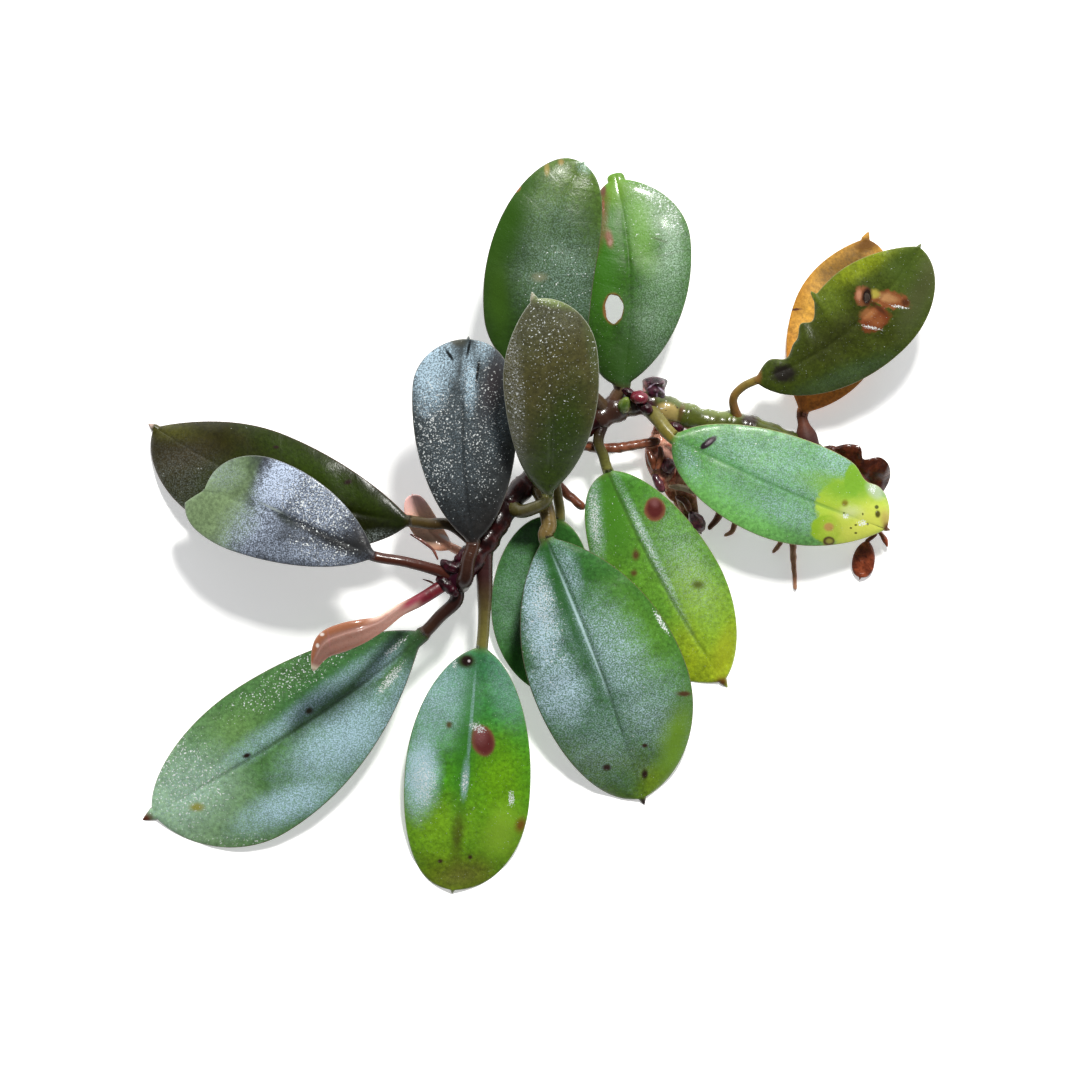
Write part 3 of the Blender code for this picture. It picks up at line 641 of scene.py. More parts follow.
    look = leaf_finish(
        "silver_upright_finish", (19, 17, 16), (43, 48, 48), (73, 88, 92), (35, 12, 7), (70, 26, 14),
        spots_and_painted_light=[
            ((50, 45, 50), oval(494, 385, 12, 34, -10)), ((80, 85, 70), oval(459, 342, 8, 5, soft=0.7)),
            ((12, 16, 18), oval(450, 356, 1.6, 7, 35, 1, 0.5)),
            ((12, 16, 18), oval(469, 349, 1.4, 9, -12, 1, 0.5)),
            ((12, 14, 15), oval(478, 372, 1.4, 14, -8, 1, 0.6)),
        ],
        # painted sheen: these ovals paint reflections of the light in a pale tone
        painted_sheen=[
            oval(430, 368, 17, 34, 0, 0.95, 0.8, 0.4), oval(444, 362, 12, 20, 0, 0.65, 0.8, 0.4),
            oval(470, 380, 7, 28, 0, 0.7, 0.8, 0.4), oval(484, 352, 10, 14, 0, 0.45, 0.7, 0.4),
            oval(495, 395, 14, 50, 0, 0.16, 0.8, 0.4), oval(450, 425, 38, 70, 0, 0.09, 0.8, 0.4),
        ],
        painted_sheen_tone=(620, 840, 1000), painted_sheen_glitter=0.7, specks=1.35,
        speck_areas=[oval(436, 440, 30, 80, 0, 0.9, 0.6), oval(480, 430, 34, 90, 0, 0.8, 0.6)],
        rib_tone=(15, 18, 20), rim=PALE_RIM_HIGHLIGHT, rim_strength=0.3, speck_size=0.25,
    )
    grown(piece, "leaf_silver_upright", look)


def left_rhizome_leaves():
    """Three leaves that leave the left rhizome along its way."""
    piece = leaf(
        "olive_upright_leaf",
        [(-4.8, 3.6, 8.7, 1.0), (-2.8, 2.1, 10.2, 0.95), (-0.7, 2.5, 11.8, 0.9), (0.9, 3.4, 13.2, 0.85)],
        [(1.2, 4.9, 14.4), (1.5, 18.8, 24.0), (-1.0, 32.5, 29.0)],
        (6.4, 0.55, 0.5, 0.8), (7.2, 0.7, 0.7, 0.55),
    )
    look = leaf_finish(
        "olive_upright_finish", (47, 75, 8), (116, 107, 36), (115, 120, 60), (80, 70, 15), (130, 120, 25),
        patches=[
            ((39, 70, 7), oval(562, 440, 22, 50, -12)),
            ((194, 253, 83), oval(556, 303, 24, 6, -12, 1, 0.7)),
        ],
        spots_and_painted_light=[
            ((360, 340, 240), oval(529, 297, 5, 6, soft=0.5)),
            ((100, 140, 50), oval(592, 345, 6, 36, 8, 0.5)),
        ],
        # painted sheen: these ovals paint reflections of the light in a pale tone
        painted_sheen=[oval(513, 378, 8, 70, 4, 0.2), oval(550, 318, 34, 20, 0, 0.05)],
        painted_sheen_tone=(600, 620, 600), painted_sheen_glitter=1.0, specks=1.3,
        speck_areas=[
            oval(545, 330, 44, 52, 0, 0.8), oval(515, 385, 15, 84, 4, 0.85),
            oval(592, 350, 10, 46, 0, 0.7, 0.7), oval(552, 395, 44, 84, 0, 0.62),
        ],
        rim=(400, 420, 340), rim_strength=0.6, speck_size=0.28,
    )
    grown(piece, "leaf_olive_upright", look)
    piece = leaf(
        "centre_leaf",
        [(-0.6, 6.7, 8.1, 1.2), (0.8, 3.2, 9.6, 1.1), (1.4, 0.1, 10.2, 1.1)],
        [(1.0, -1.8, 10.4), (7.7, -17.4, 8.0), (14.8, -39.2, -0.4)],
        (11.5, 0.6, 0.8, 0.6), (10.2, 0.5, 0.7, 0.5),
    )
    look = leaf_finish(
        "centre_finish", (39, 169, 33), (54, 185, 40), (110, 210, 16), (140, 100, 30), (220, 150, 45),
        patches=[
            ((110, 300, 30), oval(640, 640, 30, 60, 35)), ((186, 308, 15), oval(658, 782, 20, 14, 20)),
            ((60, 150, 20), oval(620, 780, 20, 12, -20)),
        ],
        spots_and_painted_light=[
            ((170, 330, 30), oval(676, 742, 14, 40, -14)),
            # The dark strip and the pale line along the midrib groove are painted shade on one side of it
            # and a painted highlight on the other
            ((30, 130, 25), oval(569, 615, 5, 66, 21, 0.85, 0.9)),
            ((600, 820, 850), oval(582, 628, 1.2, 60, 22, 0.7, 0.8, 0.05)),
            ((100, 50, 20), oval(684, 694, 7, 2.6, soft=0.6)),
            ((40, 15, 8), oval(645, 746, 3, 2, soft=0.6)), ((40, 20, 15), oval(607, 768, 4, 3, soft=0.6)),
            ((30, 15, 8), oval(645, 775, 3, 5, soft=0.6)), ((25, 12, 8), oval(646, 803, 6, 5, soft=0.6)),
        ],
        # painted sheen: these ovals paint reflections of the light in a pale tone; the glints below are
        # painted highlights
        painted_sheen=[
            oval(541, 622, 15, 54, 10, ragged=0.4), oval(560, 690, 24, 34, 20, 0.85, 0.8, 0.4),
            oval(615, 655, 26, 54, 28, 0.5, 0.8, 0.4), oval(600, 740, 44, 40, 20, 0.24, 0.8, 0.4),
            oval(570, 575, 9, 30, 20, 0.38, 0.8, 0.4), oval(675, 735, 14, 24, 0, 0.35, 0.7),
            oval(645, 705, 34, 42, 20, 0.36, 0.8, 0.4), oval(582, 630, 14, 36, 20, 0.42, 0.9, 0.4),
        ],
        painted_sheen_tone=(600, 820, 950), painted_sheen_glitter=0.7, specks=1.0,
        speck_areas=[oval(545, 640, 26, 70, 10, 0.9, 0.5), oval(610, 680, 70, 100, 20, 0.4, 0.5)],
        glints=[oval(661, 622, 2.6, 14, 33, 1, 0.5, 0.2), oval(545, 605, 12, 34, 10, 0.6, 0.7)],
        rib_tone=(15, 60, 15),
    )
    grown(piece, "leaf_centre", look)
    piece = leaf(
        "behind_centre_leaf",
        [(1.7, 9.2, 7.7, 0.7), (2.6, 4.2, 7.4, 0.7)],
        [(2.9, 1.0, 7.0), (0.6, -10.4, 3.6), (1.8, -24.6, -0.4)],
        (6.7, 0.43, 0.5, 0.9), (7.3, 0.5, 0.45, 0.65),
    )
    look = leaf_finish(
        "behind_centre_finish", (52, 196, 34), (75, 253, 52), (81, 276, 52), (150, 120, 30), (220, 200, 50),
        # this dark oval along the centre leaf's edge is painted shadow
        patches=[((25, 100, 15), oval(520, 640, 8, 40, -15))],
        # painted sheen: this oval paints a reflection of the light in a pale tone
        painted_sheen=[oval(510, 595, 16, 44, -12, 0.3, 0.8, 0.25)],
        painted_sheen_tone=(420, 660, 560), painted_sheen_glitter=0.6, specks=0.5,
        speck_areas=[oval(515, 600, 24, 60, -10, 0.8, 0.5)],
        rim=PALE_RIM_HIGHLIGHT,
    )
    grown(piece, "leaf_behind_centre", look)


def middle_crown_leaves():
    """Three leaves of the middle crown."""
    piece = leaf(
        "top_left_leaf",
        [(9.2, 16.3, 6.8, 0.9), (7.4, 18.3, 9.0, 0.85), (5.5, 19.0, 10.2, 0.85)],
        [(3.2, 19.6, 11.0), (0.6, 35.6, 14.0), (6.4, 51.0, 13.0)],
        (8.3, 0.33, 0.9, 0.42), (7.2, 0.58, 0.4, 0.45), nib=0.4,
    )
    look = leaf_finish(
        "top_left_finish", (23, 66, 7), (39, 88, 18), (103, 194, 28), (100, 60, 30), (100, 120, 20),
        patches=[((86, 141, 16), oval(566, 178, 22, 20, -20, 0.5))],
        spots_and_painted_light=[
            ((30, 90, 6), oval(508, 222, 16, 54, -22)), ((40, 100, 8), oval(498, 300, 10, 40, 4)),
            ((350, 140, 50), oval(517, 190, 4, 2.6, 40, 1, 0.5)),
            ((300, 240, 60), oval(547, 170, 2.6, 6, soft=0.6)),
            ((300, 220, 60), oval(561, 163, 3, 3, soft=0.6)),
            ((260, 260, 160), oval(540, 278, 7, 4, 0, 0.7, 0.8, 0.4)),
        ],
        # painted sheen: these ovals paint reflections of the light in a pale tone
        painted_sheen=[
            oval(550, 225, 30, 46, 10, 0.15, 0.8, 0.25), oval(560, 275, 36, 42, 15, 0.24, 0.8, 0.25),
            oval(577, 292, 18, 26, 0, 0.2, 0.8, 0.25), oval(585, 166, 7, 8, 0, 0.5, 0.7, 0.25),
        ],
        painted_sheen_tone=(440, 640, 560), painted_sheen_glitter=0.7, specks=0.9,
        speck_areas=[
            oval(560, 280, 46, 46, 0, 0.8, 0.5), oval(580, 180, 18, 24, 0, 0.8, 0.5),
            oval(540, 240, 50, 80, 0, 0.25, 0.5),
        ],
        rim=(120, 80, 40),
    )
    grown(piece, "leaf_top_left", look)
    piece = leaf(
        "top_holed_leaf",
        [(9.9, 16.2, 6.5, 0.9), (10.8, 18.2, 7.2, 0.85)],
        [(11.5, 19.6, 7.6), (12.7, 34.4, 9.0), (10.6, 49.4, 6.6)],
        (6.6, 0.45, 0.4, 0.45), (8.9, 0.68, 0.8, 0.7), nib=0.8, blunt=2.6,
    )
    look = leaf_finish(
        "top_holed_finish", (18, 52, 5), (38, 143, 5), (84, 214, 13), (120, 50, 30), (140, 80, 40),
        patches=[((33, 63, 7), oval(668, 254, 16, 1.4, 12, 0.7, 0.8, 0.6))],
        spots_and_painted_light=[
            ((30, 90, 8), oval(626, 362, 20, 22, soft=0.9)), ((40, 170, 4), oval(606, 255, 13, 60)),
            ((160, 400, 20), oval(640, 225, 12, 40, 10, 0.6)),
            ((140, 310, 20), oval(614, 186, 13, 18, soft=0.7)),
            ((140, 90, 20), oval(603, 222, 4, 24, -8, 0.8, 0.8, 0.5)),
            ((240, 90, 40), oval(603, 206, 1.8, 8, 0, 1, 0.6, 0.5)),
            ((240, 100, 50), oval(609, 238, 3.6, 8, 10, 1, 0.7, 0.6)),
            ((350, 200, 140), oval(610, 243, 1.8, 2.6, 0, 1, 0.6, 0.5)),
            ((160, 70, 40), oval(603, 190, 3, 7, 0, 1, 0.6, 0.4)),
            ((260, 110, 30), oval(613, 309, 10.2, 15.4, 0, 1, 0.14, 0.08)),
            ((40, 80, 10), oval(660, 240, 8, 1.2, -20, 0.7, 0.8, 0.6)),
        ],
        # painted sheen: these ovals paint reflections of the light in a pale tone; the glints below are
        # painted highlights
        painted_sheen=[
            oval(664, 290, 22, 70, -14, 0.3, 0.9), oval(655, 215, 28, 34, 25, 0.3, 0.8, 0.4),
            oval(672, 250, 12, 40, 0, 0.42),
        ],
        painted_sheen_tone=(500, 720, 540), painted_sheen_glitter=0.6, specks=0.8,
        speck_areas=[oval(652, 222, 40, 46, 0, 0.9, 0.5), oval(650, 280, 30, 60, 0, 0.2, 0.5)],
        glints=[oval(650, 192, 24, 12, -32, 0.65, 0.8, 0.4), oval(672, 218, 10, 20, 15, 0.55, 0.8, 0.4)],
        rim=(300, 340, 200), roughness=0.45,
    )
    holed = grown(piece, "leaf_top_holed", look)
    pierce(holed, "hole_cutter", (10.5, 30.4, 8.5), (1.25, 2.0))
    piece = leaf(
        "lower_right_leaf",
        [(9.4, 15.6, 6.5, 0.8), (8.3, 12.0, 7.2, 0.75), (9.0, 9.9, 6.8, 0.75)],
        [(9.7, 7.6, 6.2), (16.9, -7.3, 3.6), (26.5, -22.7, -0.5)],
        (8.2, 0.55, 0.6, 0.65), (8.3, 0.65, 0.4, 0.8),
    )
    look = leaf_finish(
        "lower_right_finish", (96, 330, 38), (163, 409, 38), (489, 621, 20), (20, 8, 6), (200, 200, 45),
        patches=[((299, 529, 38), oval(704, 604, 22, 44, 30))],
        spots_and_painted_light=[
            ((80, 270, 20), oval(614, 515, 12, 34, 10)),
            ((260, 100, 50), oval(655, 509.5, 10.5, 12, 0, 1, 0.14, 0.1)),
            ((120, 20, 18), oval(655, 508.5, 8, 9.5, 0, 1, 0.3, 0.15)),
            ((300, 120, 120), oval(655, 503, 3.6, 4, 0, 0.7, 0.8, 0.5)),
            ((120, 60, 20), oval(636, 555, 3.4, 5, soft=0.7)),
            ((120, 80, 20), oval(634, 573, 3, 3, soft=0.7)),
            ((140, 50, 10), oval(722, 683, 8, 5, 30, 1, 0.7)), ((120, 160, 30), oval(698, 585, 6, 4)),
            ((420, 460, 20), oval(726, 650, 10, 22, -14, 0.6)),
        ],
        # painted sheen: these ovals paint reflections of the light along the midrib; the glints below are
        # painted highlights
        painted_sheen=[
            oval(596, 517, 7, 38, 4, 0.5), oval(648, 543, 4, 66, 26, 0.55, 0.9),
            oval(684, 560, 20, 46, 27, 0.26, 0.9),
        ],
        painted_sheen_tone=(600, 800, 760), painted_sheen_glitter=0.8, specks=0.8,
        speck_areas=[oval(610, 530, 26, 50, 10, 0.8, 0.5), oval(680, 580, 40, 70, 25, 0.3, 0.5)],
        glints=[oval(595, 520, 6, 34, 5, 0.75, 0.7), oval(648, 545, 3, 60, 26, 0.6)],
        rib_tone=(50, 120, 20), rim=(360, 340, 160),
    )
    grown(piece, "leaf_lower_right", look)


def right_rhizome_leaves():
    """Three living leaves and two dead ones of the right rhizome."""
    piece = leaf(
        "pale_leaf",
        [(15.2, 16.6, 5.2, 1.0), (16.6, 15.0, 7.6, 1.0)],
        [(19.0, 12.3, 8.6), (34.0, 5.2, 8.6), (49.3, -0.6, 4.4)],
        (7.7, 0.6, 0.6, 0.38), (7.3, 0.48, 0.5, 0.9), bites=[(1, 0.83, 0.05, 0.16)], nib=0.6, rib=0.25,
        flare=0.1,
    )
    tip_dots = [
        (844, 513, 1.1, 0.8), (851, 528, 1.2, 0.9), (856, 525, 1.4, 0.9), (856, 533, 1.4, 1.0),
        (868, 524, 1.0, 1.3), (863, 514, 0.8, 1.2),
    ]
    look = leaf_finish(
        "pale_finish", (105, 333, 52), (157, 423, 115), (184, 436, 129), (200, 180, 40), (260, 220, 30),
        patches=[
            ((209, 563, 129), oval(728, 508, 56, 16, -33)),
            ((92, 320, 64), oval(735, 465, 50, 4, -30, 0.8, 0.9, 0.2)),
        ],
        spots_and_painted_light=[
            ((460, 660, 60), oval(852, 512, 37, 34, -20, 1, 0.08, 0.18)),
            ((320, 540, 30), oval(826, 529, 16, 14, 0, 1, 0.1, 0.2)),
            ((220, 460, 30), oval(858, 480, 14, 18, 0, 1, 0.1, 0.2)),
            ((220, 460, 30), oval(846, 490, 34, 11, -16, 0.9, 0.9, 0.4)),
            ((780, 820, 130), oval(868, 525, 34, 20, 20, 0.9, 0.9, 0.5)),
            ((700, 780, 420), oval(852, 512, 9, 6, 0, 0.6, 0.9, 0.6)),
            ((20, 10, 16), oval(708, 443, 10, 3.6, 37, 1, 0.25)),
            ((300, 240, 280), oval(709, 442, 4, 1.3, 37, 0.8, 0.7, 0.7)),
            ((500, 360, 100), oval(888, 522, 6, 12, 20, 0.8, 0.7, 0.2)),
            ((140, 50, 20), oval(888, 528, 4, 5, soft=0.6)),
            ((500, 620, 400), oval(876, 490, 7, 10, 35, 0.9, 0.5, 0.2)),
            ((100, 60, 20), oval(829, 541, 6, 4.6, 0, 1, 0.2, 0.15)),
            ((350, 340, 60), oval(829.5, 541, 3.4, 2.4, 0, 1, 0.5, 0.1)),
            ((550, 340, 100), oval(829, 527, 5, 4, 0, 1, 0.4, 0.2)),
            ((100, 90, 10), oval(878, 514, 2.6, 3.6, 0, 1, 0.4, 0.2)),
            ((100, 120, 20), oval(877, 507, 2, 2, 0, 1, 0.4, 0.2)),
            ((250, 220, 20), oval(845, 503, 3, 3, 0, 1, 0.6, 0.2)),
            *(((120, 120, 20), oval(*dot, 0, 1, 0.4, 0.2)) for dot in tip_dots),
        ],
        # painted sheen: these ovals paint reflections of the light in a pale tone; the glints below are
        # painted highlights
        painted_sheen=[
            oval(790, 470, 60, 32, -24, 0.36, 0.7), oval(834, 463, 24, 18, -35, 0.48, 0.7),
            oval(745, 450, 40, 20, -10, 0.35), oval(785, 510, 40, 14, -22, 0.42, 0.7),
            oval(690, 462, 9, 20, 25, 0.4), oval(740, 490, 40, 16, -30, 0.25),
        ],
        painted_sheen_tone=(420, 650, 660), painted_sheen_glitter=0.75, specks=0.9,
        speck_areas=[
            oval(700, 460, 30, 26, -30, 0.9, 0.6), oval(760, 440, 40, 14, -10, 0.7, 0.6),
            oval(770, 480, 70, 40, -25, 0.25, 0.5),
        ],
        glints=[
            oval(862, 523, 5, 3, 0, 0.95, 0.6), oval(846, 516, 4, 3, 0, 0.9, 0.6),
            oval(873, 488, 4, 5, 0, 0.85, 0.6),
        ],
        rim=(500, 400, 200), rib_tone=(70, 240, 50), roughness=0.4, coat=0.05,
    )
    grown(piece, "leaf_right_pale", look)
    piece = leaf(
        "far_right_leaf",
        [(28.0, 14.6, 3.2, 0.65), (27.2, 17.6, 5.6, 0.6), (28.3, 19.3, 6.6, 0.6)],
        [(30.4, 20.4, 7.2), (43.4, 27.4, 9.6), (53.4, 39.5, 12.0)],
        (7.1, 0.6, 0.8, 0.8), (7.15, 0.63, 0.65, 0.55),
        bites=[(1, 0.17, 0.07, 0.65), (1, 0.26, 0.04, 0.3), (1, 0.37, 0.06, 0.34), (1, 0.455, 0.012, -0.2)],
        nib=0.5,
    )
    look = leaf_finish(
        "far_right_finish", (58, 85, 7), (58, 78, 7), (100, 150, 18), (300, 140, 35), (280, 200, 40),
        patches=[
            ((230, 290, 12), oval(862, 264, 46, 10, 32)),
            ((130, 185, 16), oval(830, 300, 16, 20, 20, 0.8, 0.9, 0.4)),
            ((39, 68, 12), oval(850, 373, 54, 10, 22)),
            ((36, 44, 6), oval(835, 335, 40, 14, 38, 0.8, 0.9, 0.4)),
            ((500, 209, 72), oval(890, 301, 17, 7, -10, 1, 0.14, 0.5)),
        ],
        spots_and_painted_light=[
            ((85, 100, 30), oval(920, 290, 12, 40, -25)),
            ((60, 100, 12), oval(905, 268, 14, 18, 0, 0.7, 0.9, 0.4)),
            ((15, 12, 8), oval(784, 374, 12, 9, 10, 1, 0.4, 0.4)),
            ((200, 90, 20), oval(757, 374, 4, 12, soft=0.7)),
            ((280, 100, 40), oval(862, 297, 8.5, 10, 0, 1, 0.2, 0.5)),
            ((280, 90, 30), oval(890, 300, 19, 8, -12, 1, 0.2, 0.6)),
            ((200, 50, 15), oval(874, 319, 15, 12, 20, 1, 0.2, 0.5)),
            ((500, 250, 100), oval(887, 298, 10, 4, -12, 1, 0.6, 0.6)),
            ((500, 420, 70), oval(874, 294, 5, 4, 0, 1, 0.6, 0.5)),
            ((420, 170, 60), oval(867, 314, 7, 5, 20, 1, 0.7, 0.6)),
            ((360, 120, 40), oval(877, 322, 6, 5, 0, 0.8, 0.7, 0.7)),
            ((620, 280, 160), oval(858.5, 295, 2.6, 5, 0, 1, 0.6, 0.4)),
            # the near-black oval at the torn hole is painted shadow
            ((20, 6, 3), oval(866.5, 297, 4.6, 8.5, -8, 1, 0.4, 0.4)),
            ((100, 30, 10), oval(879, 309, 9, 1.8, -40, 1, 0.6, 0.6)),
            ((100, 30, 10), oval(905, 303, 4, 3.6, 0, 1, 0.6, 0.6)),
        ],
        # painted sheen: these ovals paint faint reflections of the light; the glints below are painted
        # highlights
        painted_sheen=[oval(918, 300, 10, 36, -20, 0.05, 0.8, 0.4), oval(845, 378, 50, 8, 20, 0.05, 0.8, 0.4)],
        painted_sheen_tone=(440, 660, 440), specks=0,
        glints=[oval(872, 328, 12, 1.8, -12, 0.9, 0.6), oval(898, 307, 9, 1.6, -10, 0.9, 0.6)],
        rim=(240, 220, 50),
    )
    spoiled = grown(piece, "leaf_far_right", look)
    pierce(spoiled, "torn_cutter", (45.85, 32.0, 10.0), (0.35, 0.6))
    piece = leaf(
        "yellow_leaf",
        [(38.2, 10.2, 2.2, 1.4), (37.5, 12.6, 2.3, 1.5), (37.1, 14.4, 2.4, 0.8)],
        [(37.0, 16.0, 2.2), (41.6, 28.8, 1.5), (46.3, 41.4, -0.2)],
        (6.3, 0.55, 0.8, 0.9), (7.2, 0.43, 0.8, 0.4), rib=0.5, flare=0,
    )
    look = leaf_finish(
        "yellow_finish", (800, 260, 35), (780, 400, 50), (600, 300, 35), (60, 14, 10), (160, 40, 15),
        patches=[((190, 90, 2), oval(845, 268, 32, 16, 32, 0.9, 0.6, 0.5))],
        spots_and_painted_light=[
            ((180, 70, 2), oval(868, 243, 14, 6, 15, 1, 0.6, 0.4)),
            # the dark oval under the far-right leaf's torn hole is painted shadow
            ((30, 12, 4), oval(866, 298, 9, 11, 0, 1, 0.5, 0.2)),
            ((450, 180, 10), oval(800, 290, 8, 30, -20, 0.6, 0.9, 0.5)),
            ((100, 30, 10), oval(793, 309, 8, 1.2, 4, 1, 0.5, 0.8)),
            ((140, 40, 10), oval(822, 414, 2.4, 1.6, 30, 1, 0.5, 0.4)),
            ((400, 120, 20), oval(800, 404, 6, 12, 0, 0.7, 0.8, 0.4)),
        ],
        specks=0, rim=(400, 180, 20), roughness=0.6, coat=0.0,
    )
    grown(piece, "leaf_yellow", look)
    rotten = dead_finish("dead_leaf_finish", (35, 6, 2), (120, 26, 9))
    piece = leaf(
        "curled_dead_leaf",
        [(39.2, 9.8, 2.0, 0.8), (40.0, 10.5, 3.4, 0.6)],
        [(41.2, 10.7, 4.0), (44.8, 7.8, 4.0), (48.3, 4.2, 1.8)],
        (3.6, 0.7, 0.6, 0.5), (1.8, 0.5, 0.6, 0.6), fold=0.5, cup=0.1, wave=0.5,
        bites=[(1, 0.42, 0.1, 0.5)], nib=0.5, crumple=0.16,
    )
    grown(piece, "dead_leaf_right", rotten)
    hanging = dead_finish("hanging_dead_finish", (150, 28, 10), (360, 80, 30))
    piece = leaf(
        "hanging_dead_leaf",
        [(43.2, 7.4, 1.5, 0.5), (46.4, 3.6, 1.1, 0.35), (47.4, -0.6, 1.0, 0.3)],
        [(46.1, -2.1, 0.9), (45.6, -4.8, 0.8), (45.0, -7.6, 0.4)],
        (1.6, 0.62, 0.6, 0.35), (1.6, 0.55, 0.6, 0.35), nib=0.4, rib=0.2, crumple=0.05,
    )
    grown(piece, "dead_leaf_small", hanging)
    sliver = stem(
        "brown_sliver", trail(1.0, (875, 526, 0.2), (882, 534, 0.3), (886, 540, 0.42), (888.5, 547, 0.1)),
        step=0.12,
    )
    grown(sliver, None, hanging)


def dead_finish(name, dark, light, patches=(), wet=0.35, dents=0.15):
    """Decayed tissue: two browns mixed by coarse noise, with fine creases in its height and a wet coat."""
    look = Finish(name, coat=wet)
    mottle = look.rise(look.noise(0.9, 4.0, 0.65, shift=5.0), 0.35, 0.7)
    colour = look.mix(mottle, dark, light)
    creases = look.rise(look.noise(2.6, 2.0, shift=1.0), 0.6, 0.72)
    colour = look.mix(creases, colour, look.mix(0.6, colour, BLACK))
    colour = look.painted(colour, patches)
    look.bump(look.noise(1.6, 4.0, 0.6, shift=8.0), dents)
    return look.done(colour)


def pink_finish(
    name, start, middle, end, patches=(), changes=(0.05, 0.3, 0.85, 0.97), edge=None, sides=None
):
    """Thin young tissue: its tone changes along the piece, with darker veins and fine dots.

    On a rolled stem, edge is the tone of its rolled rim and sides the tone of its two margins.
    """
    look = Finish(name, coat=0.35)
    colour = look.mix(look.rise(look.along, changes[0], changes[1]), start, middle)
    veins = look.rise(look.noise(1.3, 3.0, 0.6, shift=5.0), 0.4, 0.65)
    colour = look.mix(look.times(veins, 0.3), colour, look.mix(0.5, colour, (300, 80, 50)))
    dotted = look.dots(0.36, 0.09, 0.6)
    colour = look.mix(look.times(dotted, 0.35), colour, look.mix(0.7, colour, (100, 30, 20)))
    if edge:
        grown_out = look.rise(look.along, changes[1], changes[1] + 0.12)
        width = look.rise(look.absolute(look.minus(look.across, 2.85)), 0.75, 0.5)
        colour = look.mix(look.times(width, grown_out), colour, edge)
        low = look.rise(look.absolute(look.across), 0.75, 0.3)
        colour = look.mix(look.times(low, grown_out), colour, sides)
    colour = look.mix(look.rise(look.along, changes[2], changes[3]), colour, end)
    colour = look.painted(colour, patches)
    look.shader.inputs["Subsurface Weight"].default_value = 0.15
    look.shader.inputs["Subsurface Radius"].default_value = (0.001, 0.0004, 0.0003)
    look.bump(look.noise(1.8, 3.0, shift=8.0), 0.05)
    return look.done(colour)


def stem_finish(name, tones, scar_tone, spots_and_painted_light=(), glints=(), wet=0.4):
    """Fleshy stem: two tones in long blotches, darker old scars and glossy wet skin."""
    look = Finish(name, roughness=0.28, coat=wet)
    mottle = look.rise(look.noise(0.45, 4.0, 0.6, shift=5.0), 0.35, 0.68)
    colour = look.mix(mottle, *tones)
    # Spots: the stem's own blotches and scars, and on the green stretches a painted highlight band
    colour = look.painted(colour, spots_and_painted_light)
    colour = look.mix(look.rise(look.noise(1.7, 3.0, shift=6.0), 0.62, 0.72), colour, scar_tone)
    # glints: painted white highlights on the wet skin
    if glints:
        spark = look.plus(look.noise(2.8, 2.0, 0.5, shift=9.0), look.times(look.blots(glints), 0.3))
        colour = look.mix(look.rise(spark, 0.7, 0.78), colour, SPECK_AND_GLINT_WHITE)
    look.bump(look.noise(1.5, 4.0, 0.6, shift=8.0), 0.08)
    return look.done(colour)


def pierce(piece, name, centre, radii):
    """Cuts an oval hole with a slightly uneven rim through a leaf."""
    turn = np.linspace(0, 2 * np.pi, HOLE_POINTS, endpoint=False)
    reach = 1 + 0.05 * np.sin(3 * turn + 1) + 0.03 * np.sin(7 * turn)
    outline = np.column_stack([radii[0] * reach * np.cos(turn), radii[1] * reach * np.sin(turn), 0 * turn])
    rings = np.stack([outline - (0, 0, CUTTER_REACH), outline + (0, 0, CUTTER_REACH)]) + np.array(centre)
    cutter = skin(name, rings, rings[1].mean(axis=0), np.zeros_like(rings), np.zeros(rings.shape[:2]))
    boolean = piece.modifiers.new(name, "BOOLEAN")
    boolean.operation = "DIFFERENCE"
    boolean.solver = "EXACT"
    boolean.object = cutter
    evaluated = piece.evaluated_get(bpy.context.evaluated_depsgraph_get())
    piece.data = bpy.data.meshes.new_from_object(evaluated)
    piece.modifiers.clear()
    bpy.data.objects.remove(cutter)


def rhizome():
    """The creeping stem in three stretches."""
    green = [
        ((500, 370, 130), oval(667, 414, 13, 11, -20, 1, 0.25, 0.2)),
        ((120, 50, 20), oval(682, 410, 2.6, 14, -15, 1, 0.4)),
        # the lighter band along the top of the green stretch is a painted highlight
        ((160, 210, 30), oval(715, 408, 40, 7, -13, 1, 0.7)), ((100, 120, 20), oval(715, 424, 36, 6, -13)),
        ((30, 15, 10), oval(750, 420, 9, 8, 0, 1, 0.6, 0.5)),
        ((50, 15, 20), oval(645, 405, 12, 13, 0, 1, 0.5, 0.4)),
        ((50, 20, 12), oval(609, 412, 24, 28, 0, 1, 0.5, 0.4)),
    ]
    # shine: painted white highlights along the top of the green stretches
    shine = [oval(700, 408, 24, 2.0, -13, 0.35, 0.6), oval(662, 408, 5, 2, -13, 0.5, 0.6)]
    fresh = stem_finish("rhizome_green_finish", [(45, 60, 5), (100, 125, 12)], (50, 30, 15), green, shine)
    dark = [
        ((30, 2, 10), oval(452, 575, 22, 20, 0, 1, 0.7, 0.4)),
        ((50, 30, 6), oval(545, 508, 20, 10, 30, 1, 0.7, 0.4)),
    ]
    red = stem_finish("rhizome_red_finish", [(8, 1, 1), (60, 8, 7)], (10, 1, 2), dark, wet=0.15)
    stretches = [
        ("green_middle_rhizome", MIDDLE_RHIZOME, "rhizome_middle", "rhizome_green", fresh),
        ("red_left_rhizome", LEFT_RHIZOME, "rhizome_left", "rhizome_red", red),
        ("green_right_rhizome", RIGHT_RHIZOME, "rhizome_right", "rhizome_green", fresh),
    ]
    for name, route, node, slot, finish in stretches:
        grown(stem(name, route, swell=0.07, lumps=0.025, lump_size=4.5, scars=0.06), node, finish)


